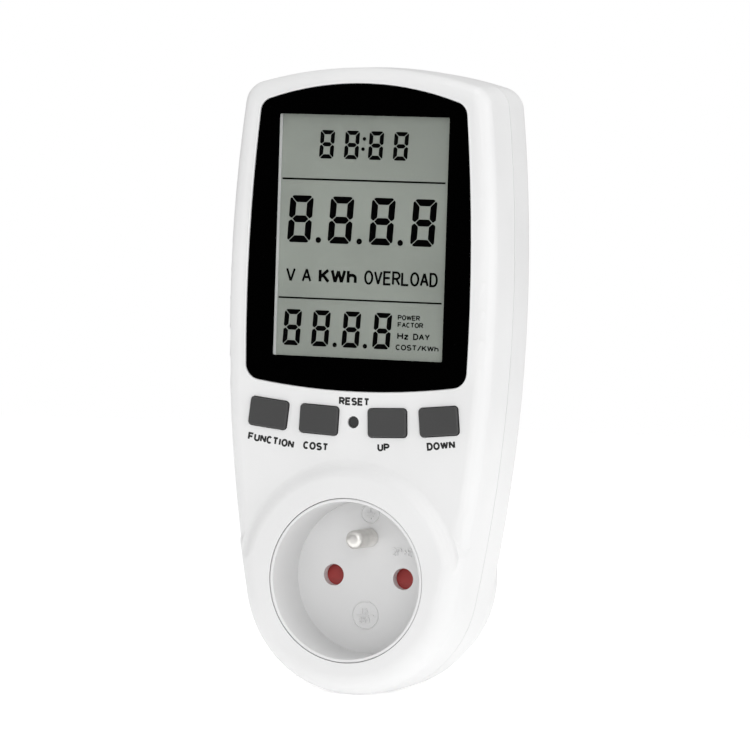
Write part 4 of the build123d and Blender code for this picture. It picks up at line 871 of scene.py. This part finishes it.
class POWERMETER_OT_inside(bpy.types.Operator):
    """Boards, wires, contacts and switches inside the case"""

    bl_idname = "powermeter.inside"
    bl_label = "Inside"

    def execute(self, context):
        for name, code, speck, roughness, nodes in INNER_FINISHES:
            material = cast_surface(name, linear(code), speck, roughness)
            chosen = nodes or [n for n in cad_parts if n.startswith(("switch_", "plunger_"))]
            for node in chosen:
                paint_node(node, material)
        brass = pressed_metal("pressed contact brass", linear("C9A45C"))
        for node in BRASS_PARTS:
            paint_node(node, brass)
        paint_node("shunt", pressed_metal("manganin strip", linear("B49A86")))
        coil = smooth_copy("shutter_spring", "shutter_spring_coil", 50.0)
        steel = pressed_metal("drawn spring steel", linear("A9ABAE"), 0.3)
        coil = place(coil, steel, "meter", ["shutter_spring"])
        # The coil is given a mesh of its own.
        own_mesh(coil)
        return {"FINISHED"}


class POWERMETER_OT_labels(bpy.types.Operator):
    """Words printed beside the keys"""

    bl_idname = "powermeter.labels"
    bl_label = "Key labels"

    def execute(self, context):
        settings = context.scene.powermeter_lettering
        height = settings.capital_height
        words = (
            ("RESET", 0.1, 44.9, 8.3, height, 0),
            ("FUNCTION", -22.3, 34.1, 12.8, height, -7.4),
            ("COST", -10.0, 33.2, 6.9, height, -2.5),
            ("UP", 8.4, 33.8, 3.3, height, 2.0),
            ("DOWN", 23.8, 35.0, 7.6, height, 7.3),
        )
        thickness = settings.film + LABEL_ROOT
        mesh = lettering("key_labels", words, FACE_Y - settings.film, thickness, LABEL_TYPE, LABEL_SPACING)
        ink = printed("black pad-printed ink", tuple(settings.ink_colour), 0.45)
        place(mesh, ink, "meter")
        return {"FINISHED"}


FLOOR_DROP = 0.02  # the floor lies this far under the object
MIDDLE = (0, -0.03, 0.05)  # what the lamps face, in metres
SUN_FROM, SUN_ANGLE = (0.45, -1.0, 0.25), 40
SOFT_BOXES = (  # name, place in metres, width in metres, power in watts
    ("soft_box_right", (1.1, -0.25, 0.35), 0.6, 2.1),
    ("soft_box_left", (-0.95, -0.25, 0.45), 0.6, 0.5),
    ("soft_box_top", (0.15, -0.1, 1.0), 0.6, 2.2),
)
CAMERA_RIGHT = (0.924012, 0.381037, 0.031815)
CAMERA_UP = (-0.044459, 0.024425, 0.998713)
CAMERA_BACK = (0.379769, -0.924237, 0.039509)
CAMERA_PLACE = (0.45482, -1.14702, 0.09854)


def facing(right, up, back, spot):
    """The matrix of a lamp or camera at a spot, from the directions of its own axes."""
    turn = np.eye(4)
    turn[:3, 0], turn[:3, 1], turn[:3, 2], turn[:3, 3] = right, up, back, spot
    return Matrix(turn.tolist())


class POWERMETER_OT_stage(bpy.types.Operator):
    """Pale floor, soft boxes, white surround and camera"""

    bl_idname = "powermeter.stage"
    bl_label = "Stage"

    def execute(self, context):
        settings = context.scene.powermeter_stage
        scene = context.scene
        ring = circle_outline(settings.floor_size / MM, samples=128)
        low = float(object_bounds()[0][2]) / MM - FLOOR_DROP
        points = np.column_stack([ring[:, 0], ring[:, 1], np.full(len(ring), low)])
        mesh = make_mesh("floor", points, [np.arange(len(ring))], smooth=False)
        floor = bpy.data.objects.new("floor", mesh)
        scene.collection.objects.link(floor)
        material, tree, shader, where = blank("opal light table")
        # A faint unevenness of shade keeps the sheet from looking like paper.
        colour = tuple(settings.floor_colour)
        colour_by(tree, shader, noise(tree, where, 60, 2.0), 0.3, 0.7, colour, tinted(colour, 0.985))
        shader.inputs["Roughness"].default_value = 0.9
        shader.inputs["Specular IOR Level"].default_value = 0.0
        shader.inputs["Emission Color"].default_value = (1, 1, 1, 1)
        shader.inputs["Emission Strength"].default_value = settings.glow
        floor.data.materials.append(material)
        floor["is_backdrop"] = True
        self.light(scene, settings)
        self.aim(scene, settings)
        scene.view_settings.view_transform = "Standard"
        return {"FINISHED"}

    def light(self, scene, settings):
        """A white surround that the camera sees in full and that lights more dimly, a wide soft sun in front, and
        soft boxes for the highlights. In reflections the surround is a ceiling that fades to almost nothing at
        the horizon and below, so that the black panel stays black."""
        world = bpy.data.worlds.new("white surround")
        world.use_nodes = True
        tree = world.node_tree
        tree.nodes.clear()
        seen = add(tree, "ShaderNodeLightPath")
        lamp = add(tree, "ShaderNodeBackground", {"Color": (1, 1, 1, 1), "Strength": settings.surround})
        ray = add(tree, "ShaderNodeTexCoord").outputs["Generated"]
        height = add(tree, "ShaderNodeSeparateXYZ", {}, {"Vector": ray}).outputs["Z"]
        rise = ranged(tree, height, 0.12, 0.6, 0.01, settings.mirrored)
        dark = add(tree, "ShaderNodeBackground", {"Color": (1, 1, 1, 1)}, {"Strength": rise})
        back = add(tree, "ShaderNodeBackground", {"Color": (1, 1, 1, 1), "Strength": settings.backdrop})
        mix = lamp
        for ray_kind, shown in (("Is Glossy Ray", dark), ("Is Camera Ray", back)):
            links = {0: seen.outputs[ray_kind], 1: mix.outputs[0], 2: shown.outputs[0]}
            mix = add(tree, "ShaderNodeMixShader", {}, links)
        add(tree, "ShaderNodeOutputWorld", {}, {"Surface": mix.outputs[0]})
        scene.world = world
        self.lamp(scene, "soft_sun", "SUN", SUN_FROM, settings.sun, math.radians(SUN_ANGLE))
        for name, spot, size, power in SOFT_BOXES[: settings.soft_boxes]:
            self.lamp(scene, name, "AREA", spot, power * settings.lamp_power, size)

    def lamp(self, scene, name, kind, spot, power, size):
        """A lamp at a spot that faces the meter. size is a disc's width, or the angle that a sun fills."""
        data = bpy.data.lights.new(name, kind)
        data.energy = power
        if kind == "SUN":
            data.angle = size
        else:
            data.shape, data.size = "DISK", size
        lamp = bpy.data.objects.new(name, data)
        scene.collection.objects.link(lamp)
        back = np.array(spot) - MIDDLE
        back /= np.linalg.norm(back)
        across = np.cross([0, 0, 1], back)
        across /= np.linalg.norm(across)
        lamp.matrix_world = facing(across, np.cross(back, across), back, spot)

    def aim(self, scene, settings):
        """The camera stands to the right of the meter, a little above its middle, and leans slightly."""
        data = bpy.data.cameras.new("camera")
        data.sensor_width = 36
        data.lens = settings.lens
        data.clip_end = 20
        camera = bpy.data.objects.new("camera", data)
        scene.collection.objects.link(camera)
        camera.matrix_world = facing(CAMERA_RIGHT, CAMERA_UP, CAMERA_BACK, CAMERA_PLACE)
        scene.camera = camera


class POWERMETER_PT_parts(bpy.types.Panel):
    """Lists the pieces of the power meter"""

    bl_label = "Power meter"
    bl_idname = "POWERMETER_PT_parts"
    bl_space_type = "VIEW_3D"
    bl_region_type = "UI"
    bl_category = "Power meter"

    def draw(self, context):
        for operator in OPERATORS:
            self.layout.operator(operator.bl_idname)


GROUPS = (
    ("powermeter_case", CaseSettings),
    ("powermeter_display", DisplaySettings),
    ("powermeter_lettering", LetteringSettings),
    ("powermeter_stage", StageSettings),
)
OPERATORS = (
    POWERMETER_OT_case,
    POWERMETER_OT_panel,
    POWERMETER_OT_display,
    POWERMETER_OT_keys,
    POWERMETER_OT_outlet,
    POWERMETER_OT_plug,
    POWERMETER_OT_inside,
    POWERMETER_OT_labels,
    POWERMETER_OT_stage,
)


def register():
    for name, group in GROUPS:
        bpy.utils.register_class(group)
        setattr(bpy.types.Scene, name, PointerProperty(type=group))
    for cls in (*OPERATORS, POWERMETER_PT_parts):
        bpy.utils.register_class(cls)


def unregister():
    for cls in (POWERMETER_PT_parts, *reversed(OPERATORS)):
        bpy.utils.unregister_class(cls)
    for name, group in reversed(GROUPS):
        delattr(bpy.types.Scene, name)
        bpy.utils.unregister_class(group)


def main():
    """Builds everything in order."""
    register()
    bpy.ops.powermeter.case()
    bpy.ops.powermeter.panel()
    bpy.ops.powermeter.display()
    bpy.ops.powermeter.keys()
    bpy.ops.powermeter.outlet()
    bpy.ops.powermeter.plug()
    bpy.ops.powermeter.inside()
    bpy.ops.powermeter.labels()
    bpy.ops.powermeter.stage()


if __name__ == "__main__":
    main()
